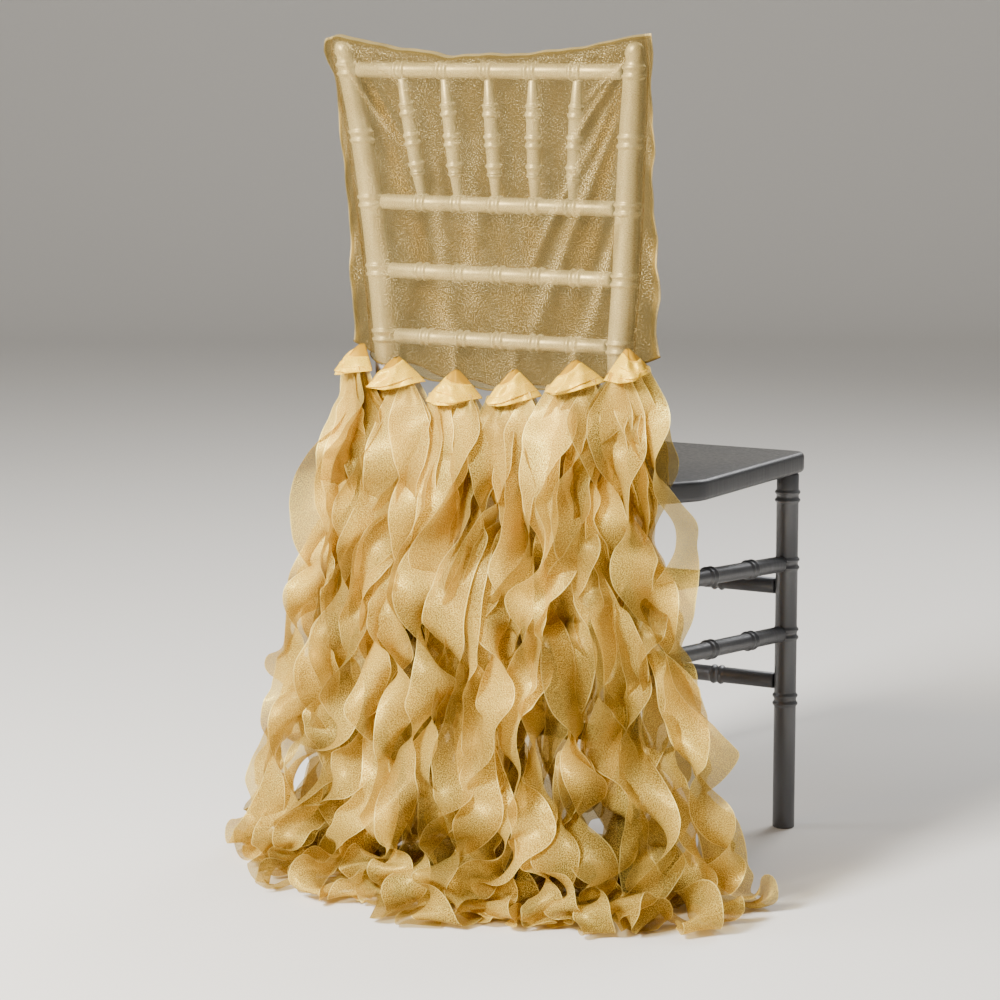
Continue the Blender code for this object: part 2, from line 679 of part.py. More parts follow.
# All strips as meshes. Flat facets stray from a curled strip, so where two would touch, both get
# more sections until none does.
def spacedStrips():
    strips, track = hangStrips()
    close = [[] for _ in strips]
    shapes = [stripMesh(stripSections(strip, index, track, [])) for index, strip in enumerate(strips)]
    pairs = [(one, two) for one in range(len(strips)) for two in range(one)]
    for _ in range(closeRounds):
        trees = [BVHTree.FromBMesh(shape, epsilon=2 * gap) for shape in shapes]
        changed = set()
        for one, two in pairs:
            meets = trees[one].overlap(trees[two])
            for which, other in ((one, 0), (two, 1)):
                heights = {round(shapes[which].faces[hit[other]].calc_center_median().z / closeReach)
                           for hit in meets}
                close[which] += [height * closeReach for height in heights
                                 if height > 1 and close[which].count(height * closeReach) < 2]
                if meets:
                    changed.add(which)
        if not changed:
            break
        for index in changed:
            shapes[index].free()
            shapes[index] = stripMesh(stripSections(strips[index], index, track, close[index]))
    return strips, shapes


def addStrips(kit, material):
    strips, shapes = spacedStrips()
    for bunch in range(len(wrapTable)):
        frame = bunchFrame(bunch)
        mesh = bpy.data.meshes.new("strip_lengths_%d" % (bunch + 1))
        joined = bmesh.new()
        for strip, shape in zip(strips, shapes):
            if strip["bunch"] == bunch:
                shape.to_mesh(mesh)
                joined.from_mesh(mesh)
        joined.to_mesh(mesh)
        joined.free()
        lengths = place(bpy.data.objects.new(mesh.name, mesh), kit["guides"], kit["frame"])
        lengths.hide_render = True
        lengths.display_type = "WIRE"
        head = bmesh.new()
        bmesh.ops.create_cone(head, cap_ends=True, segments=12, radius1=1.0, radius2=1.0, depth=1.0)
        bmesh.ops.scale(head, verts=head.verts, vec=(headHalfWidth, headHalfDepth, headBottomDrop - headTopDrop))
        name = "strips_%d" % (bunch + 1)
        mesh = bpy.data.meshes.new(name)
        head.to_mesh(mesh)
        head.free()
        item = place(bpy.data.objects.new(name, mesh), kit["part"], kit["frame"], material)
        item.location = (*frame["centre"], frame["top"] - (headTopDrop + headBottomDrop) / 2)
        item.rotation_euler.z = math.atan2(frame["across"][1], frame["across"][0])
        join = item.modifiers.new("strips", "BOOLEAN")
        join.operation = "UNION"
        join.solver = "EXACT"
        join.object = lengths


# Moves the whole part so that the frame's origin is under the middle of its box, on the floor
def centreOnFloor(kit):
    bpy.context.view_layer.update()
    depsgraph = bpy.context.evaluated_depsgraph_get()
    low = Vector((0.0, 0.0, 0.0))
    high = Vector((0.0, 0.0, 0.0))
    for item in kit["part"].objects:
        if item.type == "EMPTY":
            continue
        shown = item.evaluated_get(depsgraph)
        for point in shown.to_mesh().vertices:
            spot = item.matrix_world @ point.co
            low = Vector(map(min, low, spot))
            high = Vector(map(max, high, spot))
        shown.to_mesh_clear()
    middle = (low + high) / 2
    kit["frame"].location = (-middle.x, -middle.y, 0.0)


def main():
    for item in list(bpy.data.objects):
        bpy.data.objects.remove(item, do_unlink=True)
    kit = {"part": bpy.data.collections.new("chair_back_cover"), "guides": bpy.data.collections.new("guides")}
    for collection in kit.values():
        bpy.context.scene.collection.children.link(collection)
    kit["frame"] = bpy.data.objects.new("chair_frame", None)
    kit["part"].objects.link(kit["frame"])
    paint = newMaterial("silver_paint", (0.20, 0.20, 0.21), 0.42, 0.6)
    sheer = newMaterial("sheer_cloth", (0.55, 0.42, 0.20), 0.5, 0.0)
    folded = newMaterial("folded_cloth", (0.80, 0.58, 0.30), 0.5, 0.0)
    curled = newMaterial("strip_cloth", (0.72, 0.50, 0.22), 0.5, 0.0)
    addPosts(kit, paint)
    addRails(kit, paint)
    addSpindles(kit, paint)
    addSeat(kit, paint)
    addLegsAndRungs(kit, paint)
    addPanel("hood_back_panel", -1.0, kit, sheer)
    addPanel("hood_front_panel", 1.0, kit, sheer)
    for index in range(len(wrapTable)):
        addWrap(index, kit, folded)
    addStrips(kit, curled)
    centreOnFloor(kit)


main()
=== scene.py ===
import math

import bmesh
import bpy
import numpy as np
from mathutils import Matrix, Vector


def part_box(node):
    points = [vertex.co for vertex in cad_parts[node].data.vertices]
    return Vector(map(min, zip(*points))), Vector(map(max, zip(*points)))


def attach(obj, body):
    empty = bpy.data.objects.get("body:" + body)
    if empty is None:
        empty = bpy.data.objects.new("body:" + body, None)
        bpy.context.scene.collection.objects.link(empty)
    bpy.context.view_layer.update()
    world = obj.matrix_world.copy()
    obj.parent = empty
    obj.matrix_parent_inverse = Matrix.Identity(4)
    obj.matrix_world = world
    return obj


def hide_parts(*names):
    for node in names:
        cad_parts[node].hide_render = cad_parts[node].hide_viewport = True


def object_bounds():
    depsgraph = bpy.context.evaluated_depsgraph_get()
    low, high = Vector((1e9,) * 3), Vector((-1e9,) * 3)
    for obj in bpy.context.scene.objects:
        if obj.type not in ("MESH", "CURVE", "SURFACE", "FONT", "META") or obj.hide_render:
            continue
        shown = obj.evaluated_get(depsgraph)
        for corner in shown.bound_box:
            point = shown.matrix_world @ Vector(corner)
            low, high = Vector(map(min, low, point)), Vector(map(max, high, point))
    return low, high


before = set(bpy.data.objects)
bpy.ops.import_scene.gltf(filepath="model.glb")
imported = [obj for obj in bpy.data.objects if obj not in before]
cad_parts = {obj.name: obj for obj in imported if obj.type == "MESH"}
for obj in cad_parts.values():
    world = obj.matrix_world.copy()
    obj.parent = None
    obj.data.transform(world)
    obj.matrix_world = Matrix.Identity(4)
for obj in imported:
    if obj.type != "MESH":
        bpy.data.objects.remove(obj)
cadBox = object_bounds()

chair = {
    "seatFront": 0.359,
    "seatTop": 0.449,
    "seatThickness": 0.024,
    "seatHalfWidth": 0.199,
    # the back post: height, half spacing, place front to back, radius
    "posts": [
        (0.9270, 0.1815, -0.0576, 0.0000),
        (0.9266, 0.1815, -0.0575, 0.0030),
        (0.9250, 0.1813, -0.0572, 0.0062),
        (0.9220, 0.1809, -0.0567, 0.0090),
        (0.9150, 0.1799, -0.0556, 0.0108),
        (0.9090, 0.1790, -0.0543, 0.0090),
        (0.9040, 0.1783, -0.0533, 0.0108),
        (0.8957, 0.1772, -0.0518, 0.0112),
        (0.8224, 0.1671, -0.0403, 0.0125),
        (0.7507, 0.1603, -0.0326, 0.0130),
        (0.6745, 0.1540, -0.0270, 0.0130),
        (0.6016, 0.1474, -0.0250, 0.0130),
        (0.4500, 0.1460, -0.0160, 0.0130),
        (0.2200, 0.1560, -0.0200, 0.0130),
        (0.0120, 0.1680, -0.0340, 0.0125),
        (0.0000, 0.1680, -0.0340, 0.0125),
    ],
    "postRings": [0.8957, 0.8224, 0.7507, 0.6745, 0.6016, 0.336, 0.252, 0.155],
    "rails": {"back_rail_top": 0.8957, "back_rail_second": 0.7507,
              "back_rail_third": 0.6745, "back_rail_lowest": 0.6016},
    "railRadius": 0.0085,
    "railRings": [0.15, 0.325, 0.50, 0.675, 0.85],
    "spindleTops": [-0.109, -0.0545, 0.0, 0.0545, 0.109],
    "spindleFeet": [-0.0945, -0.048, 0.0, 0.048, 0.0945],
    "spindleRadius": 0.0075,
    "spindleRings": [0.23, 0.48, 0.74],
    "spindleTaper": [(0.0, 0.62), (0.20, 0.90), (0.23, 1.0), (0.74, 1.0), (0.77, 0.92), (1.0, 0.60)],
    "leg": (0.184, 0.333),
    "legRadius": 0.013,
    "legRings": [0.398, 0.318, 0.2345, 0.155],
    "rungRadius": 0.0095,
    "rungRings": [0.22, 0.5, 0.78],
    "ringRise": 0.0021,
    "rungs": {"upper": (0.318, 0.336), "lower": (0.2345, 0.252)},
    "stretchers": {"upper": 0.290, "lower": 0.176},
    "sides": 32,
}
# a turned ring is two beads with a groove between them: distance along, rise
ringProfile = [(-0.0090, 0.0), (-0.0074, 0.0003), (-0.0062, 0.0016), (-0.0048, 0.0021), (-0.0034, 0.0017),
               (-0.0022, 0.0004), (0.0, 0.0001), (0.0022, 0.0004), (0.0034, 0.0017), (0.0048, 0.0021),
               (0.0062, 0.0016), (0.0074, 0.0003), (0.0090, 0.0)]

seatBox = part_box("seat")
shift = Vector(((seatBox[0].x + seatBox[1].x) / 2, seatBox[1].y - chair["seatFront"], 0.0))


def lookUp(table, key, column):
    rows = sorted(table)
    return float(np.interp(key, [row[0] for row in rows], [row[column] for row in rows]))


def postAt(height):
    return tuple(lookUp(chair["posts"], height, column) for column in (1, 2, 3))


# Materials
def toLinear(code):
    parts = [int(code[start:start + 2], 16) / 255 for start in (1, 3, 5)]
    return tuple(part / 12.92 if part <= 0.04045 else ((part + 0.055) / 1.055) ** 2.4 for part in parts)


def colour(code):
    return (*toLinear(code), 1.0)


def addNode(tree, kind, inputs, stops=(), **settings):
    node = tree.nodes.new("ShaderNode" + kind)
    for name, value in settings.items():
        setattr(node, name, value)
    for name, value in inputs.items():
        if isinstance(value, bpy.types.NodeSocket):
            tree.links.new(value, node.inputs[name])
        else:
            node.inputs[name].default_value = value
    for number, (place, tone) in enumerate(stops):
        elements = node.color_ramp.elements
        element = elements[number] if number < len(elements) else elements.new(place)
        element.position = place
        element.color = tone
    return node


def newMaterial(name):
    material = bpy.data.materials.new(name)
    material.use_nodes = True
    material.node_tree.nodes.clear()
    return material, material.node_tree


# Sprayed silver paint on turned beech: a dull metal flake that shows the wood's grain a little, with soft
# highlights and a patchy tone. Lighter copies on the posts and rails are painted light; darker copies on the
# legs, rungs and seat, and the posts below the cover's hem, are painted shade.
def silverPaint(name, bright, dull, paintedShade=None):
    settings = {"flake": 0.0016, "grain": 0.004, "wear": 0.12, "metal": 0.45, "coat": 0.12,
                "shadeFrom": 0.545, "shadeTo": 0.575}
    material, tree = newMaterial(name)
    place = addNode(tree, "TexCoord", {}).outputs["Object"]
    stretched = addNode(tree, "Mapping", {"Vector": place, "Scale": (1.0, 1.0, 0.12)}).outputs["Vector"]
    grain, wear, flake = (
        addNode(tree, "TexNoise", {"Vector": spots, "Scale": 1 / settings[key], "Detail": detail})
        for spots, key, detail in ((stretched, "grain", 6.0), (place, "wear", 4.0), (place, "flake", 1.0)))
    tone = addNode(tree, "ValToRGB", {"Fac": wear.outputs["Fac"]},
                   ((0.30, colour(dull)), (0.70, colour(bright)))).outputs[0]
    if paintedShade:  # painted shade: below the cover's hem the posts take the darker colour
        height = addNode(tree, "SeparateXYZ", {"Vector": place}).outputs["Z"]
        share = addNode(tree, "MapRange", {"Value": height, "From Min": settings["shadeFrom"],
                                           "From Max": settings["shadeTo"]})
        tone = addNode(tree, "Mix", {"Factor": share.outputs[0], 6: colour(paintedShade), 7: tone},
                       data_type="RGBA").outputs[2]
    spark = addNode(tree, "Mix", {"Factor": 0.10, 6: tone, 7: flake.outputs["Color"]},
                    data_type="RGBA", blend_type="OVERLAY")
    rough = addNode(tree, "MapRange", {"Value": grain.outputs["Fac"], "From Min": 0.3, "From Max": 0.7,
                                       "To Min": 0.36, "To Max": 0.52})
    bump = addNode(tree, "Bump", {"Height": grain.outputs["Fac"], "Strength": 0.12, "Distance": 0.0004})
    shader = addNode(tree, "BsdfPrincipled",
                     {"Base Color": spark.outputs[2], "Metallic": settings["metal"],
                      "Roughness": rough.outputs[0], "Normal": bump.outputs["Normal"],
                      "Coat Weight": settings["coat"], "Coat Roughness": 0.35})
    addNode(tree, "OutputMaterial", {"Surface": shader.outputs[0]})
    return material


# Organza: a plain weave of bright, see-through polyester threads. At this scale it reads as a grain of
# light and dark specks with faint lines along the threads. The real threads are 0.25 mm apart, too
# fine to show, so they are drawn at 1 mm and the specks at 1.0 to 1.4 mm.
def organza(name, cloth):
    material, tree = newMaterial(name)
    flat = addNode(tree, "UVMap", {}, uv_map="cut").outputs["UV"]
    along = addNode(tree, "Mapping", {"Vector": flat, "Scale": (1 / cloth["thread"], 1 / cloth["slub"], 1)})
    threads, specks, clouds = (
        addNode(tree, "TexNoise", {"Vector": spots, "Scale": scale, "Detail": detail},
                noise_dimensions="2D").outputs["Fac"]
        for spots, scale, detail in ((along.outputs["Vector"], 1.0, 1.0), (flat, 1 / cloth["speck"], 1.0),
                                     (flat, 1 / cloth["cloud"], 2.0)))
    grain = addNode(tree, "Math", {0: threads, 1: cloth["lines"], 2: specks}, operation="MULTIPLY_ADD")
    middle = 0.5 + cloth["lines"] / 2
    grain = addNode(tree, "MapRange", {"Value": grain.outputs[0], "From Min": middle - cloth["range"],
                                       "From Max": middle + cloth["range"]}).outputs[0]
    # from the middle of the cloth, 0, to its seams and cut edges, 1 and more; on the wraps, 1 marks the inner
    # fold for painted shade, and on the hood's edges the mark above 1.2 paints a highlight
    layers = addNode(tree, "Attribute", {}, attribute_name="layers").outputs["Fac"]
    most = (2.0 - cloth["markFrom"]) / (1.0 - cloth["markFrom"])
    edge = addNode(tree, "MapRange", {"Value": layers, "From Min": cloth["markFrom"], "From Max": 2.0,
                                      "To Max": most}).outputs[0]
    rim = addNode(tree, "MapRange", {"Value": edge, "From Min": 1.2, "From Max": 1.7}).outputs[0]
    # painted light: a mark of painted highlight and painted shade along folds, strip rows and the strips'
    # lower ends scales the colour, and the cover rises and falls with it, as threads crowd on one side of a
    # fold and part on the other
    paintedLight = addNode(tree, "Attribute", {}, attribute_name="paintedLight").outputs["Fac"]
    tones = [(place, colour(cloth[key])) for place, key in ((0.0, "shade"), (0.5, "mid"), (1.0, "bright"))]
    tone = addNode(tree, "ValToRGB", {"Fac": grain}, tones).outputs[0]
    # the clouds are the cloth's own tone; the seam mix is the hood's doubled seams, the strips' cut edges and
    # painted shade in the wraps' inner folds; the rim mix is a painted highlight on the hood's top and side
    # edges
    for factor, paler in ((clouds, "mid"), (edge, "seam"), (rim, "bright")):
        tone = addNode(tree, "Mix", {"Factor": factor, 6: tone, 7: colour(cloth[paler])},
                       data_type="RGBA").outputs[2]
    shading = addNode(tree, "Math", {0: paintedLight, 1: cloth["paintedLightStrength"], 2: 1.0}, operation="MULTIPLY_ADD")
    tone = addNode(tree, "VectorMath", {0: tone, "Scale": shading.outputs[0]}, operation="SCALE").outputs[0]
    body = addNode(tree, "MapRange", {"Value": grain, "To Min": cloth["cover"] - cloth["open"],
                                      "To Max": cloth["cover"] + cloth["open"]})
    body = addNode(tree, "Math", {0: paintedLight, 1: cloth["foldCover"], 2: body.outputs[0]},
                   operation="MULTIPLY_ADD")
    cover = addNode(tree, "MapRange", {"Value": edge, "To Min": body.outputs[0],
                                       "To Max": cloth["seamCover"]})
    bump = addNode(tree, "Bump", {"Height": threads, "Strength": cloth["grain"], "Distance": 0.0005})
    rough = addNode(tree, "MapRange", {"Value": grain, "To Min": cloth["roughness"] + 0.08,
                                       "To Max": cloth["roughness"] - 0.08})
    shader = addNode(tree, "BsdfPrincipled",
                     {"Base Color": tone, "Roughness": rough.outputs[0], "Metallic": cloth["lustre"],
                      "Normal": bump.outputs["Normal"], "Specular Tint": colour(cloth["gloss"])})
    through = addNode(tree, "BsdfTranslucent", {"Color": tone})
    lit = addNode(tree, "MixShader", {"Fac": cloth["through"], 1: shader.outputs[0], 2: through.outputs[0]})
    clear = addNode(tree, "BsdfTransparent", {"Color": colour(cloth["tint"])})
    sheer = addNode(tree, "MixShader", {"Fac": cover.outputs[0], 1: clear.outputs[0], 2: lit.outputs[0]})
    addNode(tree, "OutputMaterial", {"Surface": sheer.outputs[0]})
    return material


# the hood's copy of the organza is far darker than the strips': painted shade
hoodCloth = {"thread": 0.0010, "slub": 0.0035, "speck": 0.0014, "lines": 0.15, "range": 0.24, "cloud": 0.05,
             "shade": "#35290C", "mid": "#5E491B", "bright": "#FFEAAA", "seam": "#7A642E", "cover": 0.25,
             "open": 0.22, "seamCover": 0.46, "grain": 0.12, "tint": "#EBDCB2", "markFrom": 0.0,
             "roughness": 0.48, "lustre": 0.18, "through": 0.26, "gloss": "#FFE9B0",
             "foldCover": 0.22, "paintedLightStrength": 0.90}
stripCloth = {"thread": 0.0009, "slub": 0.004, "speck": 0.0010, "lines": 0.25, "range": 0.20, "cloud": 0.06,
              "shade": "#83642F", "mid": "#CDA84A", "bright": "#FFEE7C", "seam": "#FFE684", "cover": 0.45,
              "open": 0.20, "seamCover": 0.72, "grain": 0.22, "tint": "#DBCAA2", "markFrom": 0.94,
              "roughness": 0.46, "lustre": 0.16, "through": 0.24, "gloss": "#FFE68C",
              "foldCover": 0.14, "paintedLightStrength": 0.60}
# in the wraps the seam colour is painted shade in the inner fold at the point
wrapCloth = {"thread": 0.0010, "slub": 0.004, "speck": 0.0014, "lines": 0.25, "range": 0.20, "cloud": 0.02,
             "shade": "#D8A024", "mid": "#FFD536", "bright": "#FFEC70", "seam": "#BC8C1C", "cover": 0.90,
             "open": 0.09, "seamCover": 1.0, "grain": 0.24, "tint": "#E3C478", "markFrom": 0.0,
             "roughness": 0.46, "lustre": 0.16, "through": 0.22, "gloss": "#FFE68C",
             "foldCover": 0.10, "paintedLightStrength": 0.45}


# Pieces
def newObject(name, shape):
    mesh = bpy.data.meshes.new(name)
    shape.to_mesh(mesh)
    shape.free()
    made = bpy.data.objects.new(name, mesh)
    bpy.context.scene.collection.objects.link(made)
    return made


def vertsIn(made):
    return [item for item in made["geom"] if isinstance(item, bmesh.types.BMVert)]


def addPiece(name, shape, material, nodes):
    piece = newObject(name, shape)
    piece.data.transform(Matrix.Translation(shift))
    piece.data.shade_smooth()
    piece.data.materials.append(material)
    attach(piece, "root")
    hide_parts(*nodes)
    return piece


# A turned rod is a profile of (along, radius) spun round Z
def turn(profile):
    shape = bmesh.new()
    spots = [shape.verts.new((radius, 0.0, along)) for along, radius in profile]
    line = [shape.edges.new(pair) for pair in zip(spots, spots[1:])]
    bmesh.ops.spin(shape, geom=spots + line, cent=(0, 0, 0), axis=(0, 0, 1), angle=2 * math.pi,
                   steps=chair["sides"], use_merge=True)
    bmesh.ops.remove_doubles(shape, verts=shape.verts, dist=0.00001)
    bmesh.ops.recalc_face_normals(shape, faces=shape.faces)
    return shape


def ringed(low, high, radiusAt, rings):
    heights = {low: 0.0, high: 0.0}
    for ring in rings:
        for along, rise in ringProfile:
            if low < ring + along < high:
                heights[ring + along] = rise
    return [(height, radiusAt(height) + rise) for height, rise in sorted(heights.items())]


def straightRod(name, start, end, radius, shares, material, taper=((0.0, 1.0), (1.0, 1.0))):
    start, end = Vector(start), Vector(end)
    length = (end - start).length
    profile = dict(ringed(0.0, length, lambda along: radius * lookUp(taper, along / length, 1),
                          [share * length for share in shares]))
    for share, size in taper[1:-1]:
        profile.setdefault(share * length, radius * size)
    profile = sorted(profile.items())
    rounding = 0.0012
    low, high = radius * taper[0][1], radius * taper[-1][1]
    profile = [(0.0, 0.0), (0.0, low - rounding), (rounding, low)] + profile[1:-1]
    profile += [(length - rounding, high), (length, high - rounding), (length, 0.0)]
    shape = turn(profile)
    matrix = (end - start).to_track_quat("Z", "Y").to_matrix().to_4x4()
    bmesh.ops.transform(shape, matrix=Matrix.Translation(start) @ matrix, verts=shape.verts)
    return addPiece(name + "_turned", shape, material, [name])


def addPosts(material):
    for side, sign in (("left", -1.0), ("right", 1.0)):
        heights = [row[0] for row in chair["posts"]]
        profile = dict(ringed(0.002, 0.905, lambda height: postAt(height)[2], chair["postRings"]))
        for height in heights + list(np.arange(0.02, 0.90, 0.012)):
            if not any(abs(height - ring) < 0.0095 for ring in chair["postRings"]):
                profile[float(height)] = postAt(height)[2]
        profile[0.002] = postAt(0)[2]
        profile[0.0] = postAt(0)[2] - 0.0015
        shape = turn([(0.0, 0.0)] + sorted(profile.items()))
        for spot in shape.verts:
            x, y, _ = postAt(spot.co.z)
            spot.co += Vector((sign * x, y, 0.0))
        addPiece("back_post_%s_turned" % side, shape, material, ["back_post_" + side])


def addRails(material):
    ring = chair["ringRise"]
    # the two upper rails are ringed where the spindles meet them
    spindled = {"back_rail_top": chair["spindleTops"], "back_rail_second": chair["spindleFeet"]}
    for name, height in chair["rails"].items():
        x, y, radius = postAt(height)
        reach = x - radius - ring - 0.0003
        rings = chair["railRings"]
        if name in spindled:
            rings = [(place + reach) / (2 * reach) for place in spindled[name]]
        straightRod(name, (-reach, y, height), (reach, y, height), chair["railRadius"], rings, material)
    top = chair["rails"]["back_rail_top"] - chair["railRadius"] - 0.0002
    foot = chair["rails"]["back_rail_second"] + chair["railRadius"] + 0.0002
    for index, (topX, footX) in enumerate(zip(chair["spindleTops"], chair["spindleFeet"])):
        straightRod("spindle_%d" % (index + 1), (footX, postAt(foot)[1], foot), (topX, postAt(top)[1], top),
                    chair["spindleRadius"], chair["spindleRings"], material, chair["spindleTaper"])


def addLegsAndRungs(material):
    ring = chair["ringRise"]
    legTop = chair["seatTop"] - chair["seatThickness"] - 0.0003
    for side, sign in (("left", -1.0), ("right", 1.0)):
        x, y = sign * chair["leg"][0], chair["leg"][1]
        straightRod("front_leg_" + side, (x, y, 0.0), (x, y, legTop), chair["legRadius"],
                    [height / legTop for height in chair["legRings"]], material)
        for level, (front, back) in chair["rungs"].items():
            postX, postY, radius = postAt(back)
            start, end = Vector((sign * postX, postY, back)), Vector((x, y, front))
            along = (end - start).normalized()
            straightRod("side_rung_%s_%s" % (level, side), start + along * (radius + ring),
                        end - along * (chair["legRadius"] + ring), chair["rungRadius"], chair["rungRings"],
                        material)
    for level, height in chair["stretchers"].items():
        postX, postY, radius = postAt(height)
        for where, reach, y in (("front", chair["leg"][0] - chair["legRadius"] - 0.0003, chair["leg"][1]),
                                ("rear", postX - radius - ring, postY)):
            straightRod("%s_stretcher_%s" % (where, level), (-reach, y, height), (reach, y, height),
                        chair["rungRadius"], chair["rungRings"], material)


def addSeat(material):
    x, y, radius = postAt(chair["seatTop"])
    rear = y + radius + 0.0006
    # a quarter of the outline's corners: across, front to back, rounding
    corners = [(chair["seatHalfWidth"], chair["seatFront"], 0.020),
               (chair["seatHalfWidth"] + 0.001, 0.078, 0.016),
               (x + radius + 0.008, 0.026, 0.012), (x - 0.004, rear, 0.008)]
    path = [(0.0, chair["seatFront"])] + [corner[:2] for corner in corners] + [(0.0, rear)]
    half = []
    for index, (_, _, rounding) in enumerate(corners):
        before, here, after = (Vector(spot) for spot in path[index:index + 3])
        start = here + (before - here).normalized() * rounding
        end = here + (after - here).normalized() * rounding
        for share in np.linspace(0.0, 1.0, 8):
            half.append(start.lerp(here, share).lerp(here.lerp(end, share), share))
    outline = half + [Vector((-spot.x, spot.y)) for spot in reversed(half)]
    shape = bmesh.new()
    face = shape.faces.new([shape.verts.new((spot.x, spot.y, chair["seatTop"])) for spot in outline])
    rim = bmesh.ops.extrude_face_region(shape, geom=[face])
    bmesh.ops.translate(shape, vec=(0, 0, -chair["seatThickness"]), verts=vertsIn(rim))
    bmesh.ops.recalc_face_normals(shape, faces=shape.faces)
    edges = [edge for edge in shape.edges if abs(edge.verts[0].co.z - edge.verts[1].co.z) < 0.001]
    bmesh.ops.bevel(shape, geom=edges, offset=0.0055, segments=5, profile=0.5, affect="EDGES", material=-1)
    seat = addPiece("seat_board", shape, material, ["seat"])
    seat.data.set_sharp_from_angle(angle=math.radians(40))


print("camera, floor and light")
view = {"place": (1.7362, -3.0595, 0.947), "azimuth": 29.774, "down": 8.48, "lens": 115.3}
studio = {"floor": "#DEDBD6", "world": "#ECEAE7", "worldStrength": 0.26, "floorSize": 14.0,
          "wallAt": 6.0, "sweepRadius": 3.0, "wallHeight": 8.0,
          # place, what it faces, power in watts, size across, colour
          "lights": [((-0.7, -3.1, 2.3), (0, 0, 0.55), 525.0, 0.9, "#FFFCF6"),
                     ((-2.4, -1.6, 1.9), (0, 0, 0.4), 50.0, 1.6, "#FFFFFF"),
                     ((0.4, 2.6, 2.6), (0, 0, 0.5), 90.0, 1.6, "#FFFFFF")]}


def addStudio():
    scene = bpy.context.scene
    camera = bpy.data.objects.new("camera", bpy.data.cameras.new("camera"))
    camera.location = Vector(view["place"]) + shift
    camera.rotation_euler = (math.radians(90 - view["down"]), 0.0, math.radians(view["azimuth"]))
    camera.data.lens = view["lens"]
    camera.data.sensor_width = 36.0
    scene.collection.objects.link(camera)
    scene.camera = camera
    # one sheet of floor that bends up into the wall far behind, square to the camera
    floorShape = bmesh.new()
    size, radius = studio["floorSize"], studio["sweepRadius"]
    profile = [(-size, 0.0)]
    for bend in np.linspace(0.0, math.pi / 2, 25):
        profile.append((studio["wallAt"] + radius * math.sin(bend), radius * (1 - math.cos(bend))))
    profile.append((studio["wallAt"] + radius, studio["wallHeight"]))
    spots = [floorShape.verts.new((-size, along, height)) for along, height in profile]
    line = [floorShape.edges.new(pair) for pair in zip(spots, spots[1:])]
    made = bmesh.ops.extrude_edge_only(floorShape, edges=line)
    bmesh.ops.translate(floorShape, vec=(2 * size, 0.0, 0.0), verts=vertsIn(made))
    bmesh.ops.rotate(floorShape, cent=(0, 0, 0), verts=floorShape.verts,
                     matrix=Matrix.Rotation(math.radians(view["azimuth"]), 3, "Z"))
    bmesh.ops.recalc_face_normals(floorShape, faces=floorShape.faces)
    floor = newObject("floor", floorShape)
    floor.data.shade_smooth()
    material, tree = newMaterial("matt painted floor")
    shader = addNode(tree, "BsdfPrincipled", {"Base Color": colour(studio["floor"]), "Roughness": 0.85})
    addNode(tree, "OutputMaterial", {"Surface": shader.outputs[0]})
    floor.data.materials.append(material)
    world = bpy.data.worlds.new("studio")
    scene.world = world
    world.use_nodes = True
    tree = world.node_tree
    tree.nodes.clear()
    sky = addNode(tree, "Background", {"Color": colour(studio["world"]), "Strength": studio["worldStrength"]})
    addNode(tree, "OutputWorld", {"Surface": sky.outputs[0]})
    for index, (place, aim, power, size, tint) in enumerate(studio["lights"]):
        lamp = bpy.data.lights.new("soft_light_%d" % index, "AREA")
        lamp.energy = power
        lamp.size = size
        lamp.color = toLinear(tint)
        light = bpy.data.objects.new(lamp.name, lamp)
        light.location = Vector(place)
        light.rotation_euler = (Vector(aim) - light.location).to_track_quat("-Z", "Y").to_euler()
        scene.collection.objects.link(light)


addStudio()

print("chair")
# one paint in lit and shaded copies: painted light on the posts and rails, painted shade on the legs, rungs
# and seat
litPaint = silverPaint("sprayed silver paint on beech", "#D9DADC", "#C6C7CA", "#5B5C5F")
addPosts(litPaint)
addRails(litPaint)
paintedShade = silverPaint("sprayed silver paint on beech, rubbed", "#626366", "#545558")
addLegsAndRungs(paintedShade)
addSeat(silverPaint("sprayed silver paint on beech, seat in painted shade", "#4C4D50", "#424346"))

# Hood
hood = {
    "clear": 0.0045, "seamHalfGap": 0.0007,
    # the side seams: height, distance from the middle
    "seamLeft": [(0.936, 0.1955), (0.928, 0.2015), (0.916, 0.2045), (0.903, 0.2030), (0.890, 0.1985),
                 (0.870, 0.1960), (0.840, 0.1945), (0.765, 0.1920), (0.650, 0.1900), (0.560, 0.1900)],
    "seamRight": [(0.940, 0.1985), (0.930, 0.2005), (0.915, 0.2015), (0.895, 0.2000), (0.870, 0.1965),
                  (0.840, 0.1930), (0.810, 0.1960), (0.780, 0.1925), (0.750, 0.1915), (0.720, 0.1960),
                  (0.690, 0.1925), (0.655, 0.1970), (0.620, 0.1935), (0.590, 0.1965), (0.560, 0.1955)],
    "topCorner": 0.934, "topDip": 0.020, "topRound": 0.016,
    "hemMiddle": 0.554, "hemRise": 0.028, "hemReach": 0.16, "scallop": 0.0045,
    "acrossCells": 150, "downCells": 110, "roundFrom": 0.80, "flangeFrom": 0.925,
    "cutHalfWidth": 0.215, "cutHeight": 0.38,
    "seamSwing": 0.0022, "mostInward": 0.003, "frontShort": -0.001, "foldDepth": 1.3,
    "slopeShade": 1.1, "heightShade": 70.0,
    "bandWidth": 0.0045, "rimHighlightMark": 1.42, "topRim": 0.0025, "sideRim": 0.0005, "rollRadius": 0.0008,
}
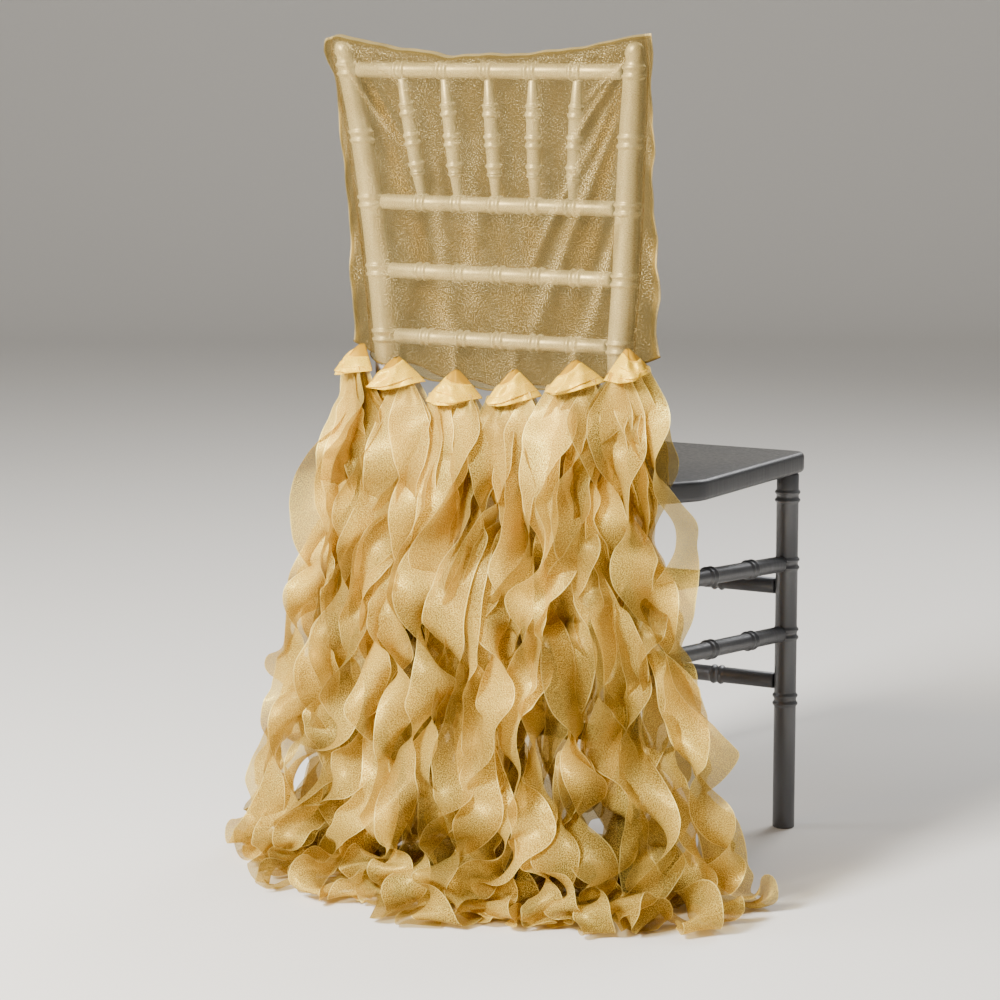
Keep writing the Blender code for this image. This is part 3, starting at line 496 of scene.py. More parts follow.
# soft folds of the back panel, as ridges (+) or troughs (-):
# top x, top z, foot x, foot z, half width, depth
backFolds = [
    (-0.177, 0.912, -0.121, 0.832, 0.0050, 0.0060),
    (-0.168, 0.892, -0.110, 0.790, 0.0060, -0.0030),
    (-0.165, 0.900, -0.085, 0.790, 0.0075, 0.0035),
    (-0.150, 0.860, -0.054, 0.765, 0.0130, -0.0028),
    (-0.150, 0.915, -0.085, 0.872, 0.0050, 0.0040),
    (-0.150, 0.800, -0.118, 0.620, 0.0110, 0.0040),
    (-0.075, 0.760, -0.090, 0.600, 0.0120, -0.0024),
    (-0.060, 0.790, -0.050, 0.590, 0.0120, 0.0042),
    (-0.012, 0.780, -0.016, 0.640, 0.0150, 0.0036),
    (0.175, 0.905, 0.105, 0.815, 0.0055, 0.0062),
    (0.168, 0.900, 0.132, 0.868, 0.0040, 0.0050),
    (0.150, 0.912, 0.098, 0.905, 0.0035, 0.0045),
    (0.150, 0.850, 0.105, 0.760, 0.0080, 0.0045),
    (0.150, 0.820, 0.058, 0.625, 0.0085, 0.0062),
    (0.128, 0.800, 0.030, 0.640, 0.0080, -0.0030),
    (0.110, 0.790, 0.018, 0.620, 0.0090, 0.0045),
    (0.160, 0.760, 0.090, 0.600, 0.0090, -0.0030),
    (0.160, 0.740, 0.118, 0.600, 0.0080, 0.0050),
]
frontFolds = [
    (-0.170, 0.900, -0.110, 0.790, 0.0070, 0.0060),
    (0.172, 0.903, 0.115, 0.800, 0.0065, 0.0060),
    (-0.150, 0.850, -0.070, 0.590, 0.0130, 0.0055),
    (0.150, 0.850, 0.075, 0.600, 0.0120, 0.0055),
    (-0.060, 0.830, -0.030, 0.600, 0.0140, 0.0040),
    (0.050, 0.820, 0.020, 0.600, 0.0140, 0.0045),
    (0.000, 0.800, 0.000, 0.640, 0.0120, 0.0035),
    (0.150, 0.880, 0.090, 0.880, 0.0040, 0.0040),
]
# the wraps along the hem: place, height of the point, how far it is turned out in degrees
wraps = [(-0.174, 0.593, -40.0), (-0.119, 0.581, -6.0), (-0.044, 0.571, 0.0),
         (0.030, 0.575, 0.0), (0.105, 0.589, 6.0), (0.172, 0.604, 40.0)]


def hemHeight(x):
    height = hood["hemMiddle"] + hood["hemRise"] * (x / hood["hemReach"]) ** 2
    for left, right in zip(wraps, wraps[1:]):
        if left[0] < x < right[0]:
            height -= hood["scallop"] * math.sin(math.pi * (x - left[0]) / (right[0] - left[0])) ** 2
    return height


def seamHeight(x):
    share = min(abs(x) / 0.18, 1.0)
    dip = hood["topDip"] * (1.0 - share ** 2)
    past = max(0.0, (abs(x) - 0.18) / 0.02)
    ear = 0.009 * past ** 2 - 0.003 * past if x < 0 else -0.002 * past
    ripple = 0.0007 * math.sin(x * 84 + 1.0) + 0.0004 * math.sin(x * 190)
    ripple -= 0.0030 * math.exp(-((x + 0.047) / 0.017) ** 2)
    return hood["topCorner"] - dip - ear + ripple * (1.0 - share ** 4)


def foldAt(x, height, folds, sign):
    total = 0.0
    for topX, topZ, footX, footZ, width, depth in folds:
        along = (topZ - height) / (topZ - footZ + 0.0001)
        if -0.15 < along < 1.15:
            ends = math.sin(math.pi * (along + 0.15) / 1.3) ** 0.7
            away = (x - topX - (footX - topX) * along) / (width * (0.6 + 0.9 * max(along, 0.0)))
            total += depth * ends * math.exp(-away * away)
    for place, top, _ in wraps:
        above = (height - top) / 0.07
        if sign < 0 and -0.5 < above < 1.0:
            away = (x - place) / (0.006 + 0.010 * max(above, 0.0))
            total += 0.0030 * (1.0 - max(above, 0.0)) * math.exp(-away * away)
    total += 0.0009 * math.sin(x * 61 + height * 23) * math.sin(height * 37 - x * 19)
    total += 0.0004 * math.sin(x * 210 + height * 60) * math.sin(height * 150 + 1.3)
    return max(total * hood["foldDepth"], -hood["mostInward"])


def hoodAcross(share, height, side):
    x, _, radius = postAt(min(height, 0.905))
    skin = radius + hood["clear"]
    seam = lookUp(hood["seamRight" if side > 0 else "seamLeft"], height, 1)
    if share < hood["roundFrom"]:
        part = share / hood["roundFrom"]
        return x * part, skin, 1.0 - part ** 6
    if share < hood["flangeFrom"]:
        bend = math.pi / 2 * (share - hood["roundFrom"]) / (hood["flangeFrom"] - hood["roundFrom"])
        return x + skin * math.sin(bend), skin * math.cos(bend), 0.0
    part = (share - hood["flangeFrom"]) / (1.0 - hood["flangeFrom"])
    return x + skin + (seam - x - skin) * part, 0.0, 0.0


def hoodSpot(across, down, sign, folds):
    side = 1.0 if across >= 0 else -1.0
    share = abs(across)
    guess = hood["topCorner"] - down * (hood["topCorner"] - hood["hemMiddle"])
    x = hoodAcross(share, guess, side)[0]
    top = seamHeight(side * x)
    height = top - down * (top - hemHeight(side * x) - (hood["frontShort"] if sign > 0 else 0.0))
    x, depth, slack = hoodAcross(share, height, side)
    drop = top - height
    if drop < hood["topRound"]:
        near = 1.0 - drop / hood["topRound"]
        depth *= math.sqrt(1.0 - near * near)
        slack *= 1.0 - near
    x *= side
    away = max(depth + slack * foldAt(x, height, folds, sign), hood["seamHalfGap"])
    flange = max(0.0, (share - 0.90) / 0.10)
    wave = hood["seamSwing"] * math.sin(height * 46 + x * 5) + 0.0009 * math.sin(height * 131 + 2 * side)
    x += side * flange * 0.0011 * math.sin(height * 73 + 3 * side)
    return Vector((x, postAt(height)[1] + flange * wave + sign * away, height))


# Painted light and shade of a fold: from its slope across and its height, -1 to 1; the side flange gets
# painted stripes of light and shade
def paintedLightAt(place, share, folds, sign):
    if share > hood["flangeFrom"]:
        across = (share - hood["flangeFrom"]) / (1.0 - hood["flangeFrom"])
        wave = (0.7 * math.sin(place.z * 46 + 1.0) + 0.5 * math.sin(place.z * 131 + 5 * across)) * across
        return max(-0.5, wave - 0.15)
    step = 0.0015
    left, here, right = (foldAt(place.x + move, place.z, folds, sign) for move in (-step, 0.0, step))
    return max(-1.0, min(1.0, hood["slopeShade"] * (right - left) / (2 * step) + hood["heightShade"] * here))


# Cloth carries its own flat places, in metres, for its weave, a mark where layers lie on each other, which
# also carries painted highlights and painted shade, and a mark of painted light and shade
def newCloth():
    shape = bmesh.new()
    shape.loops.layers.uv.new("cut")
    shape.verts.layers.float.new("paintedLight")
    return shape, shape.verts.layers.float_vector.new("flat"), shape.verts.layers.float.new("layers")


def spreadCut(shape, flat):
    cut = shape.loops.layers.uv["cut"]
    for face in shape.faces:
        for loop in face.loops:
            loop[cut].uv = loop.vert[flat].xy


def addHoodPanel(name, sign, folds, material):
    shape, flat, layers = newCloth()
    paintedLight = shape.verts.layers.float["paintedLight"]
    bmesh.ops.create_grid(shape, x_segments=hood["acrossCells"], y_segments=hood["downCells"], size=1.0)
    hem = set()
    for spot in shape.verts:
        across, down = spot.co.x, (1.0 - spot.co.y) / 2
        down = down ** 1.12
        spot.co = hoodSpot(across, down, sign, folds)
        edge = min((1.0 - abs(across)) * hood["cutHalfWidth"], down * hood["cutHeight"])
        spot[flat] = (across * hood["cutHalfWidth"] + sign, spot.co.z, 0.0)
        spot[layers] = 1.0 if edge < hood["bandWidth"] else 0.0
        # painted highlight along the top and side edges
        if edge < hood["sideRim"] or down * hood["cutHeight"] < hood["topRim"]:
            spot[layers] = hood["rimHighlightMark"]
        spot[paintedLight] = paintedLightAt(spot.co, abs(across), folds, sign)
        if down > 0.9999:
            hem.add(spot)
    rolled(shape, hem, sign, flat, layers)
    spreadCut(shape, flat)
    bmesh.ops.recalc_face_normals(shape, faces=shape.faces)
    panel = addPiece(name + "_cloth", shape, material, [name])
    return panel


# The hem is rolled: its edge is extruded round a small circle
def rolled(shape, line, sign, flat, layers):
    edges = [edge for edge in shape.edges if edge.verts[0] in line and edge.verts[1] in line]
    steps, radius = 7, hood["rollRadius"]
    for step in range(steps):
        bend = 2 * math.pi * 0.85 * step / (steps - 1)
        made = bmesh.ops.extrude_edge_only(shape, edges=edges)
        fresh = vertsIn(made)
        edges = [item for item in made["geom"] if isinstance(item, bmesh.types.BMEdge)
                 and item.verts[0] in fresh and item.verts[1] in fresh]
        move = Vector((0.0, sign * math.sin(bend), -math.cos(bend))) * radius
        for spot in fresh:
            spot[flat] = (spot.co.x + sign, 0.55 - 0.001 * step, 0.0)
            spot[layers] = 1.0
        bmesh.ops.translate(shape, verts=fresh, vec=move)


print("hood")
sheer = organza("gold organza, one layer", hoodCloth)
addHoodPanel("hood_back_panel", -1.0, backFolds, sheer)
addHoodPanel("hood_front_panel", 1.0, frontFolds, sheer)

# Wraps: a folded band round the head of each bunch, with an inner fold at its point darkened by painted shade
wrap = {
    "bulge": 0.0245, "back": 0.0095, "headOut": 0.0120,
    # half width, height, lean to the right
    "shapes": [(0.0300, 0.034, -0.02), (0.0370, 0.034, -0.14), (0.0330, 0.037, -0.02), (0.0325, 0.037, -0.14),
               (0.0335, 0.033, -0.22), (0.0245, 0.032, -0.16)],
    "turnCells": 44, "dropCells": 20, "wall": 0.0005, "pleats": 0.0021, "crumple": 0.0023,
    # sheets of one wrap: upper edge, its tilt, lower edge, its tilt, how far it stands out, mark of painted
    # shade at the top
    "sheets": [(0.03, 0.0, 0.97, 0.0, 0.0, 1.0), (0.34, -0.17, 1.02, 0.04, 0.0034, 0.0),
               (0.70, -0.16, 0.92, -0.08, 0.0058, 0.0)],
}


def bunchFrame(index):
    x, top, turn = wraps[index]
    postX, postY, radius = postAt(top)
    angle = math.radians(turn)
    out = np.array([math.sin(angle), -math.cos(angle)])
    skin = radius + hood["clear"] + 0.0005
    if abs(x) > postX - 0.005:
        base = np.array([math.copysign(postX, x), postY]) + out * skin
        base[0] += 0.35 * (x - base[0])
    else:
        base = np.array([x, postY - skin])
    across = np.array([-out[1], out[0]])
    return {"centre": base + out * wrap["headOut"], "out": out, "across": across, "top": top}


def addWrap(index, material):
    held = bunchFrame(index)
    noise = np.random.RandomState(40 + index)
    shape, flat, layers = newCloth()
    paintedLight = shape.verts.layers.float["paintedLight"]
    halfWidth, size, lean = wrap["shapes"][index]
    swing = noise.uniform(0, 2 * math.pi, 5)
    hand = 1 if index in (1, 3, 4) else -1
    for upper, upperTilt, lower, lowerTilt, stand, mark in wrap["sheets"]:
        made = bmesh.ops.create_grid(shape, x_segments=wrap["turnCells"], y_segments=wrap["dropCells"],
                                     size=1.0)
        for spot in made["verts"]:
            turn = math.radians(93) * spot.co.x * hand
            down = (1 - spot.co.y) / 2
            side = math.sin(turn) * hand
            start = max(0.03, upper + upperTilt * side + 0.03 * math.sin(turn * 2.5 + swing[3]))
            finish = lower + lowerTilt * side + 0.015 * math.sin(turn * 4 + swing[4])
            drop = start + (finish - start) * down
            # the band's upper edge rolls over
            raised = stand * min(1.0, 0.35 + 6 * down) - 0.0006 * max(0.0, 1 - 8 * down)
            raised *= 1.0 - 0.8 * abs(math.sin(turn)) ** 5
            pleat = wrap["pleats"] * math.sin(turn * 7.5 + swing[0] + 5 * drop * hand) * min(1.0, 1.6 * drop)
            pleat += wrap["pleats"] * (1.0 - abs(math.sin(turn * 3.2 + swing[3] + 2 * drop))) ** 4
            crumple = math.sin(turn * 2.7 + swing[1] + 5 * drop) * math.sin(drop * 7 + swing[2])
            across = halfWidth * drop ** 0.86 * math.sin(turn)
            # flat in front and sharply turned at its sides, as folded cloth is
            bend = math.sqrt(drop) * max(0.0, 1.0 - abs(math.sin(turn)) ** 3.2) ** 0.6
            out = wrap["bulge"] * bend - wrap["back"] + raised + (pleat + wrap["crumple"] * crumple) * bend
            sag = 1.0 - 0.15 * math.sin(turn) ** 2 + lean * math.sin(turn)
            place = held["centre"] + held["across"] * across + held["out"] * out
            spot.co = (*place, held["top"] - size * drop * sag)
            spot[flat] = (turn * halfWidth, -drop * 0.05, 0.0)
            spot[layers] = mark
            # painted highlight along the upper edge of each outer band
            spot[paintedLight] = 0.8 * math.exp(-(down / 0.06) ** 2) if mark == 0.0 else 0.0
    bmesh.ops.recalc_face_normals(shape, faces=shape.faces)
    spreadCut(shape, flat)
    name = "wrap_%d" % (index + 1)
    piece = addPiece(name + "_cloth", shape, material, [name])
    wall = piece.modifiers.new("wall", "SOLIDIFY")
    wall.thickness = wrap["wall"]
    wall.offset = 0.0


# Strips: long curled lengths of the same cloth. They are let down from their heads in small steps.
# At each height every strip is a segment in the plane. It turns at its curl's rate, drifts to its
# place in the skirt, and is pushed away from the chair and from its neighbours. Each step moves it
# only a little, so where strips are crowded some still cut through each other.
strips = {
    "columns": 4, "rows": 3, "columnPitch": 0.0145, "rowPitch": 0.0053,
    "tuck": 0.0085,
    "rootHalfWidth": 0.0058, "halfWidth": 0.0245, "widenLength": 0.036, "rootLength": 0.008,
    "curlLength": 0.200,
    "curlShare": [(0.0, 1.15), (0.20, 1.10), (0.34, 0.95), (0.46, 0.65), (0.56, 0.55)],
    "gap": 0.0036, "axisShift": 0.45, "settleLength": 0.070, "seed": 7,
    "step": 0.0025, "mostDrift": 0.0018, "mostSwing": 0.0026, "pull": 0.25, "rounds": 14,
    "postMargin": 0.0080, "rungMargin": 0.005, "seatMargin": 0.013,
    "spare": 0.120, "acrossCells": 4, "alongStep": 0.0075, "easeRounds": 3, "curlSwing": 0.75,
    "cutWidth": 0.048, "cutLength": 0.68,
    "pleatDepth": 0.0042, "crossCurl": 0.0042, "flutter": 0.0014, "billow": (0.006, 0.004, 0.007),
    # painted light and shade on the strips: lighter outer and darker inner rows, lighter or darker from strip
    # to strip and in bands along each strip, darker towards the lower ends
    "rowPaintedLight": (0.30, -0.20, -0.75), "paintedLightSwing": 0.30, "foldPaintedLight": 0.38, "lowPaintedShade": -0.45,
    # height, half width of the outer row, its depth, pitch between rows, room for waviness
    "skirt": [
        (0.560, 0.176, 0.040, 0.0053, 0.000),
        (0.500, 0.206, 0.067, 0.0130, 0.006),
        (0.430, 0.227, 0.088, 0.0200, 0.013),
        (0.330, 0.248, 0.117, 0.0290, 0.017),
        (0.220, 0.276, 0.154, 0.0380, 0.017),
        (0.100, 0.292, 0.184, 0.0450, 0.014),
        (0.000, 0.284, 0.178, 0.0460, 0.012),
        (-0.060, 0.252, 0.150, 0.0430, 0.012),
        (-0.160, 0.215, 0.115, 0.0360, 0.012),
    ],
    "skirtBack": -0.030, "skirtHalfAngle": 86.0,
}


# Closest points of two sets of segments in the plane: distance, point on the first, point on the second
def closestPoints(startA, endA, startB, endB):
    def onto(spot, start, end):
        run = end - start
        share = np.sum((spot - start) * run, -1) / np.maximum(np.sum(run * run, -1), 1e-12)
        return start + np.clip(share, 0.0, 1.0)[..., None] * run

    firsts = [startA, endA, onto(startB, startA, endA), onto(endB, startA, endA)]
    seconds = [onto(startA, startB, endB), onto(endA, startB, endB), startB, endB]
    distance = np.stack([np.linalg.norm(a - b, axis=-1) for a, b in zip(firsts, seconds)])
    best = np.argmin(distance, 0)
    nearest = np.arange(len(best))
    return distance.min(0), np.stack(firsts)[best, nearest], np.stack(seconds)[best, nearest]


# What the strips are pushed clear of at a height: segments (start, end, distance)
def obstaclesAt(height):
    postX, postY, radius = postAt(height)
    found = []
    for sign in (-1.0, 1.0):
        post = (sign * postX, postY)
        found.append((post, post, radius + 0.002 + strips["postMargin"]))
        for _, backHeight in chair["rungs"].values():
            if abs(height - backHeight) < 0.03:
                found.append((post, (sign * chair["leg"][0], chair["leg"][1]),
                              chair["rungRadius"] + strips["rungMargin"]))
        if abs(height - chair["seatTop"] + chair["seatThickness"] / 2) < 0.024:
            found.append(((sign * 0.195, 0.085), (sign * 0.160, 0.032), strips["seatMargin"]))
    found.append(((-postX, postY), (postX, postY), chair["rungRadius"] + 0.007))
    return found


def lanesAt(height, row, order):
    width, depth, pitch = (lookUp(strips["skirt"], height, column) for column in (1, 2, 3))
    lane = np.zeros((len(row), 2))
    facing = np.zeros(len(row))
    half = strips["skirtHalfAngle"]
    sweep = np.radians(np.linspace(-half, half, 121))
    for level in range(strips["rows"]):
        across, back = width - pitch * level, depth - pitch * level
        path = np.stack([np.sin(sweep) * across, strips["skirtBack"] - np.cos(sweep) * back], 1)
        length = np.concatenate([[0.0], np.cumsum(np.linalg.norm(np.diff(path, axis=0), axis=1))])
        share = (order[row == level] + 0.5) / (strips["columns"] * len(wraps))
        turn = np.interp(share * length[-1], length, sweep)
        along = np.stack([np.cos(turn) * across, np.sin(turn) * back], 1)
        lane[row == level] = np.stack([np.sin(turn) * across, strips["skirtBack"] - np.cos(turn) * back], 1)
        facing[row == level] = np.arctan2(along[:, 1], along[:, 0])
    return lane, facing


def stripRoots():
    roots = []
    for bunch in range(len(wraps)):
        held = bunchFrame(bunch)
        halfWidth, size, lean = wrap["shapes"][bunch]
        pitch = strips["columnPitch"] * halfWidth / 0.0325
        for column in range(strips["columns"]):
            side = (column - (strips["columns"] - 1) / 2) * pitch / halfWidth
            rim = held["top"] - size * (1.0 - 0.15 * side ** 2 + lean * side)
            for row in range(strips["rows"]):
                spot = held["across"] * (column - (strips["columns"] - 1) / 2) * pitch
                spot = spot + held["out"] * (1 - row) * strips["rowPitch"]
                roots.append({"bunch": bunch, "row": row, "order": bunch * strips["columns"] + column,
                              "root": held["centre"] + spot,
                              "facing": math.atan2(held["across"][1], held["across"][0]),
                              "start": rim + strips["tuck"]})
    return roots


# Turn of every strip in each step down, with a change of hand on the way
def curlSteps(heights, start, row, noise):
    count = len(start)
    hand = np.where(noise.rand(count) < 0.5, -1.0, 1.0)
    rate = 2 * math.pi / strips["curlLength"] * noise.uniform(0.70, 1.25, count)
    flip = noise.uniform(0.14, 0.48, count)
    waver = noise.uniform(24, 60, count)
    phase = noise.uniform(0, 2 * math.pi, count)
    steps = np.zeros((len(heights), count))
    for step, height in enumerate(heights):
        speed = rate * np.clip((start - height - 0.015) / 0.06, 0.0, 1.0) * np.tanh((height - flip) / 0.02)
        speed = speed * lookUp(strips["curlShare"], height, 1)
        speed = speed * (1.0 + strips["curlSwing"] * np.sin(height * waver + phase))
        steps[step] = hand * speed * strips["step"]
    return steps


def hangStrips():
    noise = np.random.RandomState(strips["seed"])
    roots = stripRoots()
    root, start, row, order, facing = (np.array([strip[key] for strip in roots])
                                       for key in ("root", "start", "row", "order", "facing"))
    heights = np.arange(start.max(), -strips["spare"] - 0.03, -strips["step"])
    curl = curlSteps(heights, start, row, noise)
    wave = noise.uniform(0, 2 * math.pi, (len(roots), 4))
    spin = noise.uniform(-1.0, 1.0, len(roots))
    first, second = np.triu_indices(len(roots), 1)
    centre, angle, turned = root.copy(), facing.copy(), facing.copy()
    track = []
    for step, height in enumerate(heights):
        fallen = np.maximum(start - strips["rootLength"] - height, 0.0)
        free = (fallen > 0.0) * 1.0
        settle = np.clip(fallen / strips["settleLength"], 0.0, 1.0)
        settle = settle * settle * (3 - 2 * settle)
        widen = np.clip(fallen / strips["widenLength"], 0.0, 1.0) ** 0.8
        half = strips["rootHalfWidth"] + (strips["halfWidth"] - strips["rootHalfWidth"]) * widen
        lane, laneFacing = lanesAt(height, row, order)
        sway = np.stack([np.sin(height * 31 + wave[:, 0]) + 0.5 * np.sin(height * 57 + wave[:, 1]),
                         np.sin(height * 29 + wave[:, 2]) + 0.5 * np.sin(height * 61 + wave[:, 3])], 1)
        turned = turned + curl[step]
        goalAngle = turned + settle * (laneFacing - facing + spin)
        off = (strips["axisShift"] * (half - strips["rootHalfWidth"]))[:, None]
        off = off * np.stack([np.cos(goalAngle), np.sin(goalAngle)], 1)
        goal = root + settle[:, None] * (lane + lookUp(strips["skirt"], height, 4) * sway + off - root)
        lastCentre, lastAngle = centre, angle
        mostMove = (strips["mostDrift"] * free)[:, None]
        mostTurn = strips["mostSwing"] / half * free
        least = strips["gap"] * np.clip(0.72 + fallen.min() / 0.05, 0.72, 1.0)
        blocks = obstaclesAt(height)
        apart = np.linalg.norm(centre[first] - centre[second], axis=1)
        near = apart < half[first] + half[second] + 2 * strips["gap"]
        one, two = first[near], second[near]
        centre = centre + strips["pull"] * (goal - centre)
        angle = angle + 0.6 * (goalAngle - angle)
        for _ in range(strips["rounds"]):
            arm = half[:, None] * np.stack([np.cos(angle), np.sin(angle)], 1)
            low, high = centre - arm, centre + arm
            distance, pointA, pointB = closestPoints(low[one], high[one], low[two], high[two])
            short = np.maximum(least - distance, 0.0)
            push = 0.5 * short[:, None] * (pointA - pointB) / np.maximum(distance, 1e-6)[:, None]
            shove = np.zeros_like(centre)
            twist = np.zeros(len(roots))
            for who, spot, sign in ((one, pointA, 1.0), (two, pointB, -1.0)):
                lever = spot - centre[who]
                np.add.at(shove, who, sign * push)
                np.add.at(twist, who, sign * (lever[:, 0] * push[:, 1] - lever[:, 1] * push[:, 0]))
            for begin, finish, keep in blocks:
                begin = np.broadcast_to(np.array(begin), low.shape)
                finish = np.broadcast_to(np.array(finish), low.shape)
                distance, pointA, pointB = closestPoints(low, high, begin, finish)
                push = np.maximum(keep - distance, 0.0)[:, None] * (pointA - pointB)
                push = push / np.maximum(distance, 1e-6)[:, None]
                lever = pointA - centre
                shove += push
                twist += lever[:, 0] * push[:, 1] - lever[:, 1] * push[:, 0]
            centre = centre + 0.6 * shove
            angle = angle + twist / half ** 2
            move = centre - lastCentre
            size = np.linalg.norm(move, axis=1)[:, None]
            centre = lastCentre + move * np.minimum(1.0, mostMove / np.maximum(size, 1e-9))
            angle = lastAngle + np.clip(angle - lastAngle, -mostTurn, mostTurn)
        track.append((height, centre, angle, half))
    return roots, track


# A slow waviness of the whole skirt. It moves neighbours alike, so it brings no new crossing.
def billow(x, y, z):
    fade = np.clip((0.50 - z) / 0.10, 0.0, 1.0)
    size = strips["billow"]
    return (x + size[0] * fade * np.sin(z * 38 + y * 16), y + size[1] * fade * np.sin(z * 33 + x * 14 + 1.0),
            z + size[2] * fade * np.sin(x * 42 + y * 26 + z * 9))


# Places of one strip's grid, from its root down: rows of points across it, and how far along each is
def stripRows(strip, index, track):
    noise = np.random.RandomState(100 + index)
    end = -strips["spare"] * noise.uniform(0.55, 1.0)
    drop = -np.array([step[0] for step in track])
    x, y, turn, half = (np.array(values) for values in zip(*[
        (step[1][index, 0], step[1][index, 1], step[2][index], step[3][index]) for step in track]))
    count = int(round((strip["start"] - end) / strips["alongStep"]))
    cuts = np.linspace(-strip["start"], -end, count + 1)
    x, y, turn, half = (np.interp(cuts, drop, values) for values in (x, y, turn, half))
    for _ in range(strips["easeRounds"]):  # cloth turns no sharp corner where it is pushed aside
        for values in (x, y):
            values[1:-1] = (values[:-2] + 2 * values[1:-1] + values[2:]) / 4
    share = np.linspace(-1.0, 1.0, strips["acrossCells"] + 1)[None, :]
    x, y, turn, half = (values[:, None] for values in (x, y, turn, half))
    fallen = (cuts + strip["start"])[:, None]
    unfolded = np.clip((fallen - 0.01) / strips["widenLength"], 0.0, 1.0)
    phase = noise.uniform(0, 2 * math.pi, 2)
    pleat = strips["pleatDepth"] * (1 - unfolded) * np.clip(fallen / 0.015, 0, 1)
    pleat = pleat * np.cos(1.5 * math.pi * share + phase[0])
    cross = strips["crossCurl"] * unfolded * np.sin(-cuts[:, None] * 33 + phase[1]) * (1 - share ** 2)
    flutter = strips["flutter"] * unfolded * np.sin(-cuts[:, None] * 150 + phase[0]) * share * np.abs(share)
    away = pleat + cross + flutter
    px = x + half * share * np.cos(turn) - away * np.sin(turn)
    py = y + half * share * np.sin(turn) + away * np.cos(turn)
    pz = np.broadcast_to(-cuts[:, None], px.shape)
    px, py, pz = billow(px, py, pz)
    return np.stack([px, py, pz], -1), fallen[:, 0]


def addStrips(material):
    roots, track = hangStrips()
    pieces = []
    for bunch in range(len(wraps)):
        shape, flat, layers = newCloth()
        paintedLight = shape.verts.layers.float["paintedLight"]
        for index, strip in enumerate(roots):
            if strip["bunch"] != bunch:
                continue
            # painted light and shade: by row, by strip, in bands along the strip, and darker towards the
            # lower end
            tone = strips["rowPaintedLight"][strip["row"]] + strips["paintedLightSwing"] * math.sin(index * 2.4)
            rows, fallen = stripRows(strip, index, track)
            made = bmesh.ops.create_grid(shape, x_segments=strips["acrossCells"], y_segments=len(rows) - 1,
                                         size=1.0)
            for spot in made["verts"]:
                column = int(round((spot.co.x + 1) / 2 * strips["acrossCells"]))
                row = int(round((1 - spot.co.y) / 2 * (len(rows) - 1)))
                across = (column / strips["acrossCells"] - 0.5) * strips["cutWidth"]
                spot[flat] = (across + index, fallen[row], 0.0)
                spot[layers] = abs(2 * column / strips["acrossCells"] - 1)
                spot[paintedLight] = tone + strips["foldPaintedLight"] * math.sin(fallen[row] * 41 + index * 1.7)
                spot[paintedLight] += strips["lowPaintedShade"] * min(1.0, max(0.0, fallen[row] / 0.45 - 0.3))
                spot.co = rows[row, column]
        spreadCut(shape, flat)
        name = "strips_%d" % (bunch + 1)
        piece = addPiece(name + "_cloth", shape, material, [name])
        finer = piece.modifiers.new("finer", "SUBSURF")
        finer.levels = 1
        finer.render_levels = 1
        pieces.append(piece)
    return pieces


# The lower ends lie on the floor in loops. Here the part below "from" is let go, and a floor rises
# under it, so that Blender's cloth simulation buckles and piles it.
settle = {
    "gravity": 0.5, "edge": 0.03, "reach": 0.020, "lift": 0.0007,
    "from": 0.42, "fade": 0.07, "floorStart": -0.125, "riseFrames": 40, "frames": 54, "quality": 5,
    "mass": 0.12, "stretch": 14.0, "shear": 5.0, "bend": 3.5, "airDamping": 2.0,
    "distance": 0.0020, "selfDistance": 0.0016, "friction": 30.0,
    "postRadius": 0.015, "postLength": 0.7, "postFrom": 0.12, "postMiddle": 0.20,
}


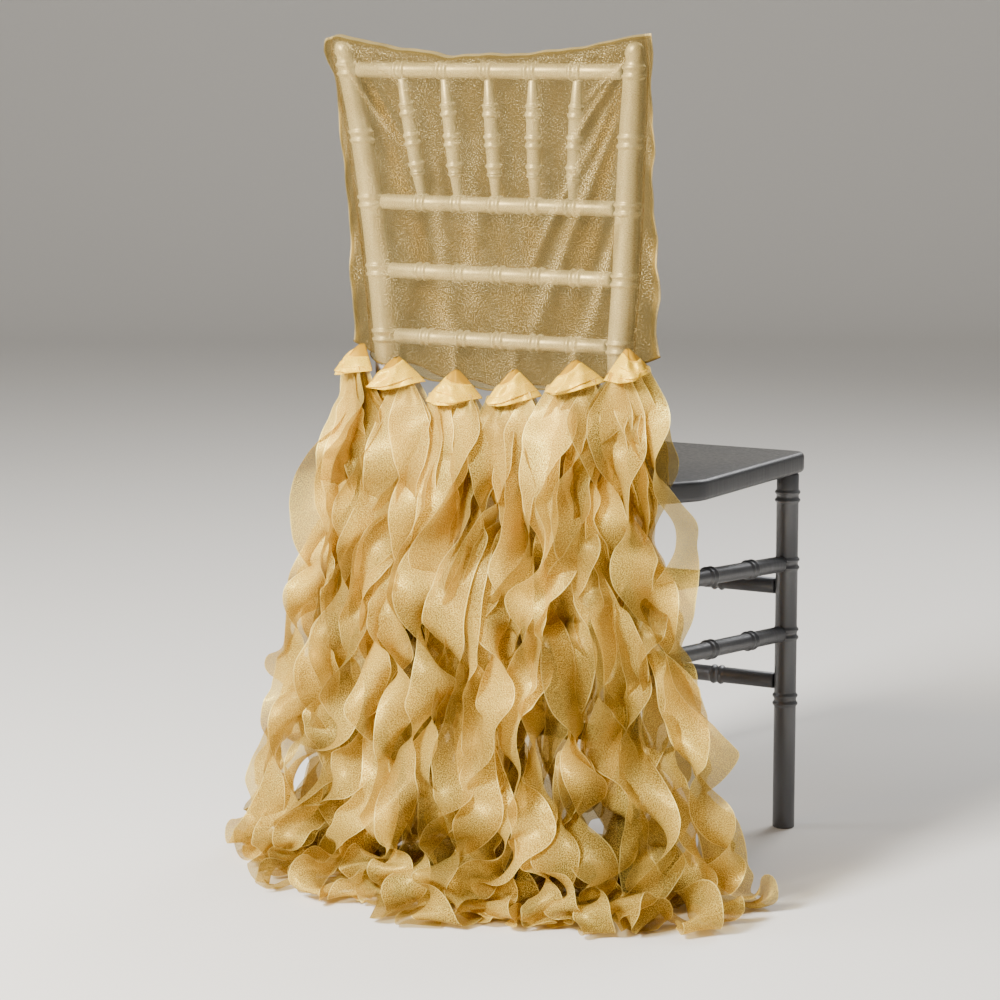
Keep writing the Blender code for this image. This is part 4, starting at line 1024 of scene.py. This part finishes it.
def settleEnds(pieces):
    scene = bpy.context.scene
    shape = bmesh.new()
    whose = shape.verts.layers.int.new("whose")
    for number, piece in enumerate(pieces):
        before = len(shape.verts)
        shape.from_mesh(piece.data)
        shape.verts.ensure_lookup_table()
        for offset, spot in enumerate(shape.verts[before:]):
            spot[whose] = number * 100000 + offset
    above = [spot for spot in shape.verts if spot.co.z > settle["from"]]
    bmesh.ops.delete(shape, geom=above, context="VERTS")
    owners = [spot[whose] for spot in shape.verts]
    whole = newObject("settling", shape)
    held = whole.vertex_groups.new(name="held")
    for spot in whole.data.vertices:
        weight = (spot.co.z - settle["from"] + settle["fade"]) / settle["fade"]
        if weight > 0.0:
            held.add([spot.index], min(weight, 1.0) ** 2, "REPLACE")
    blocks = []
    floorShape = bmesh.new()
    bmesh.ops.create_grid(floorShape, x_segments=2, y_segments=2, size=1.5)
    blocks.append(("settling_floor", floorShape, Vector((0, 0, settle["floorStart"]))))
    for sign in (-1.0, 1.0):
        postShape = bmesh.new()
        bmesh.ops.create_cone(postShape, cap_ends=True, segments=12, radius1=settle["postRadius"],
                              radius2=settle["postRadius"], depth=settle["postLength"])
        x, y, _ = postAt(settle["postFrom"])
        blocks.append(("settling_post", postShape, Vector((sign * x, y, settle["postMiddle"])) + shift))
    made = []
    for name, block, place in blocks:
        body = newObject(name, block)
        body.location = place
        body.modifiers.new("collision", "COLLISION")
        body.collision.thickness_outer = settle["distance"]
        body.collision.cloth_friction = settle["friction"]
        made.append(body)
    floor = made[0]
    floor.keyframe_insert("location", frame=1)
    floor.location.z = 0.0
    floor.keyframe_insert("location", frame=settle["riseFrames"])
    modifier = whole.modifiers.new("cloth", "CLOTH")
    cloth, contact = modifier.settings, modifier.collision_settings
    cloth.quality = settle["quality"]
    cloth.mass = settle["mass"]
    cloth.tension_stiffness = cloth.compression_stiffness = settle["stretch"]
    cloth.shear_stiffness = settle["shear"]
    cloth.bending_stiffness = settle["bend"]
    cloth.air_damping = settle["airDamping"]
    cloth.vertex_group_mass = "held"
    cloth.effector_weights.gravity = settle["gravity"]
    contact.distance_min = settle["distance"]
    contact.use_self_collision = True
    contact.self_distance_min = settle["selfDistance"]
    contact.collision_quality = 2
    modifier.point_cache.frame_start = 1
    modifier.point_cache.frame_end = settle["frames"]
    for number in range(1, settle["frames"] + 1):
        scene.frame_set(number)
    settled = whole.evaluated_get(bpy.context.evaluated_depsgraph_get()).to_mesh()
    for owner, spot in zip(owners, settled.vertices):
        place = spot.co.copy()
        # ends that slid far out are drawn in, and all lie on the floor
        for axis in (0, 1):
            for side in (0, 1):
                sign = 1 if side else -1
                past = sign * (place[axis] - cadBox[side][axis]) + settle["edge"]
                if past > 0.0:
                    most = settle["edge"] + settle["reach"]
                    place[axis] -= sign * (past - most * math.tanh(past / most))
        place.z = max(place.z, settle["lift"])
        pieces[owner // 100000].data.vertices[owner % 100000].co = place
    for piece in pieces:
        piece.data.update()
    for body in [whole] + made:
        bpy.data.objects.remove(body)
    scene.frame_set(1)


print("wraps")
folded = organza("gold organza, folded", wrapCloth)
for index in range(len(wraps)):
    addWrap(index, folded)

print("strips")
stripPieces = addStrips(organza("gold organza, cut in curled strips", stripCloth))
print("settling the ends")
settleEnds(stripPieces)
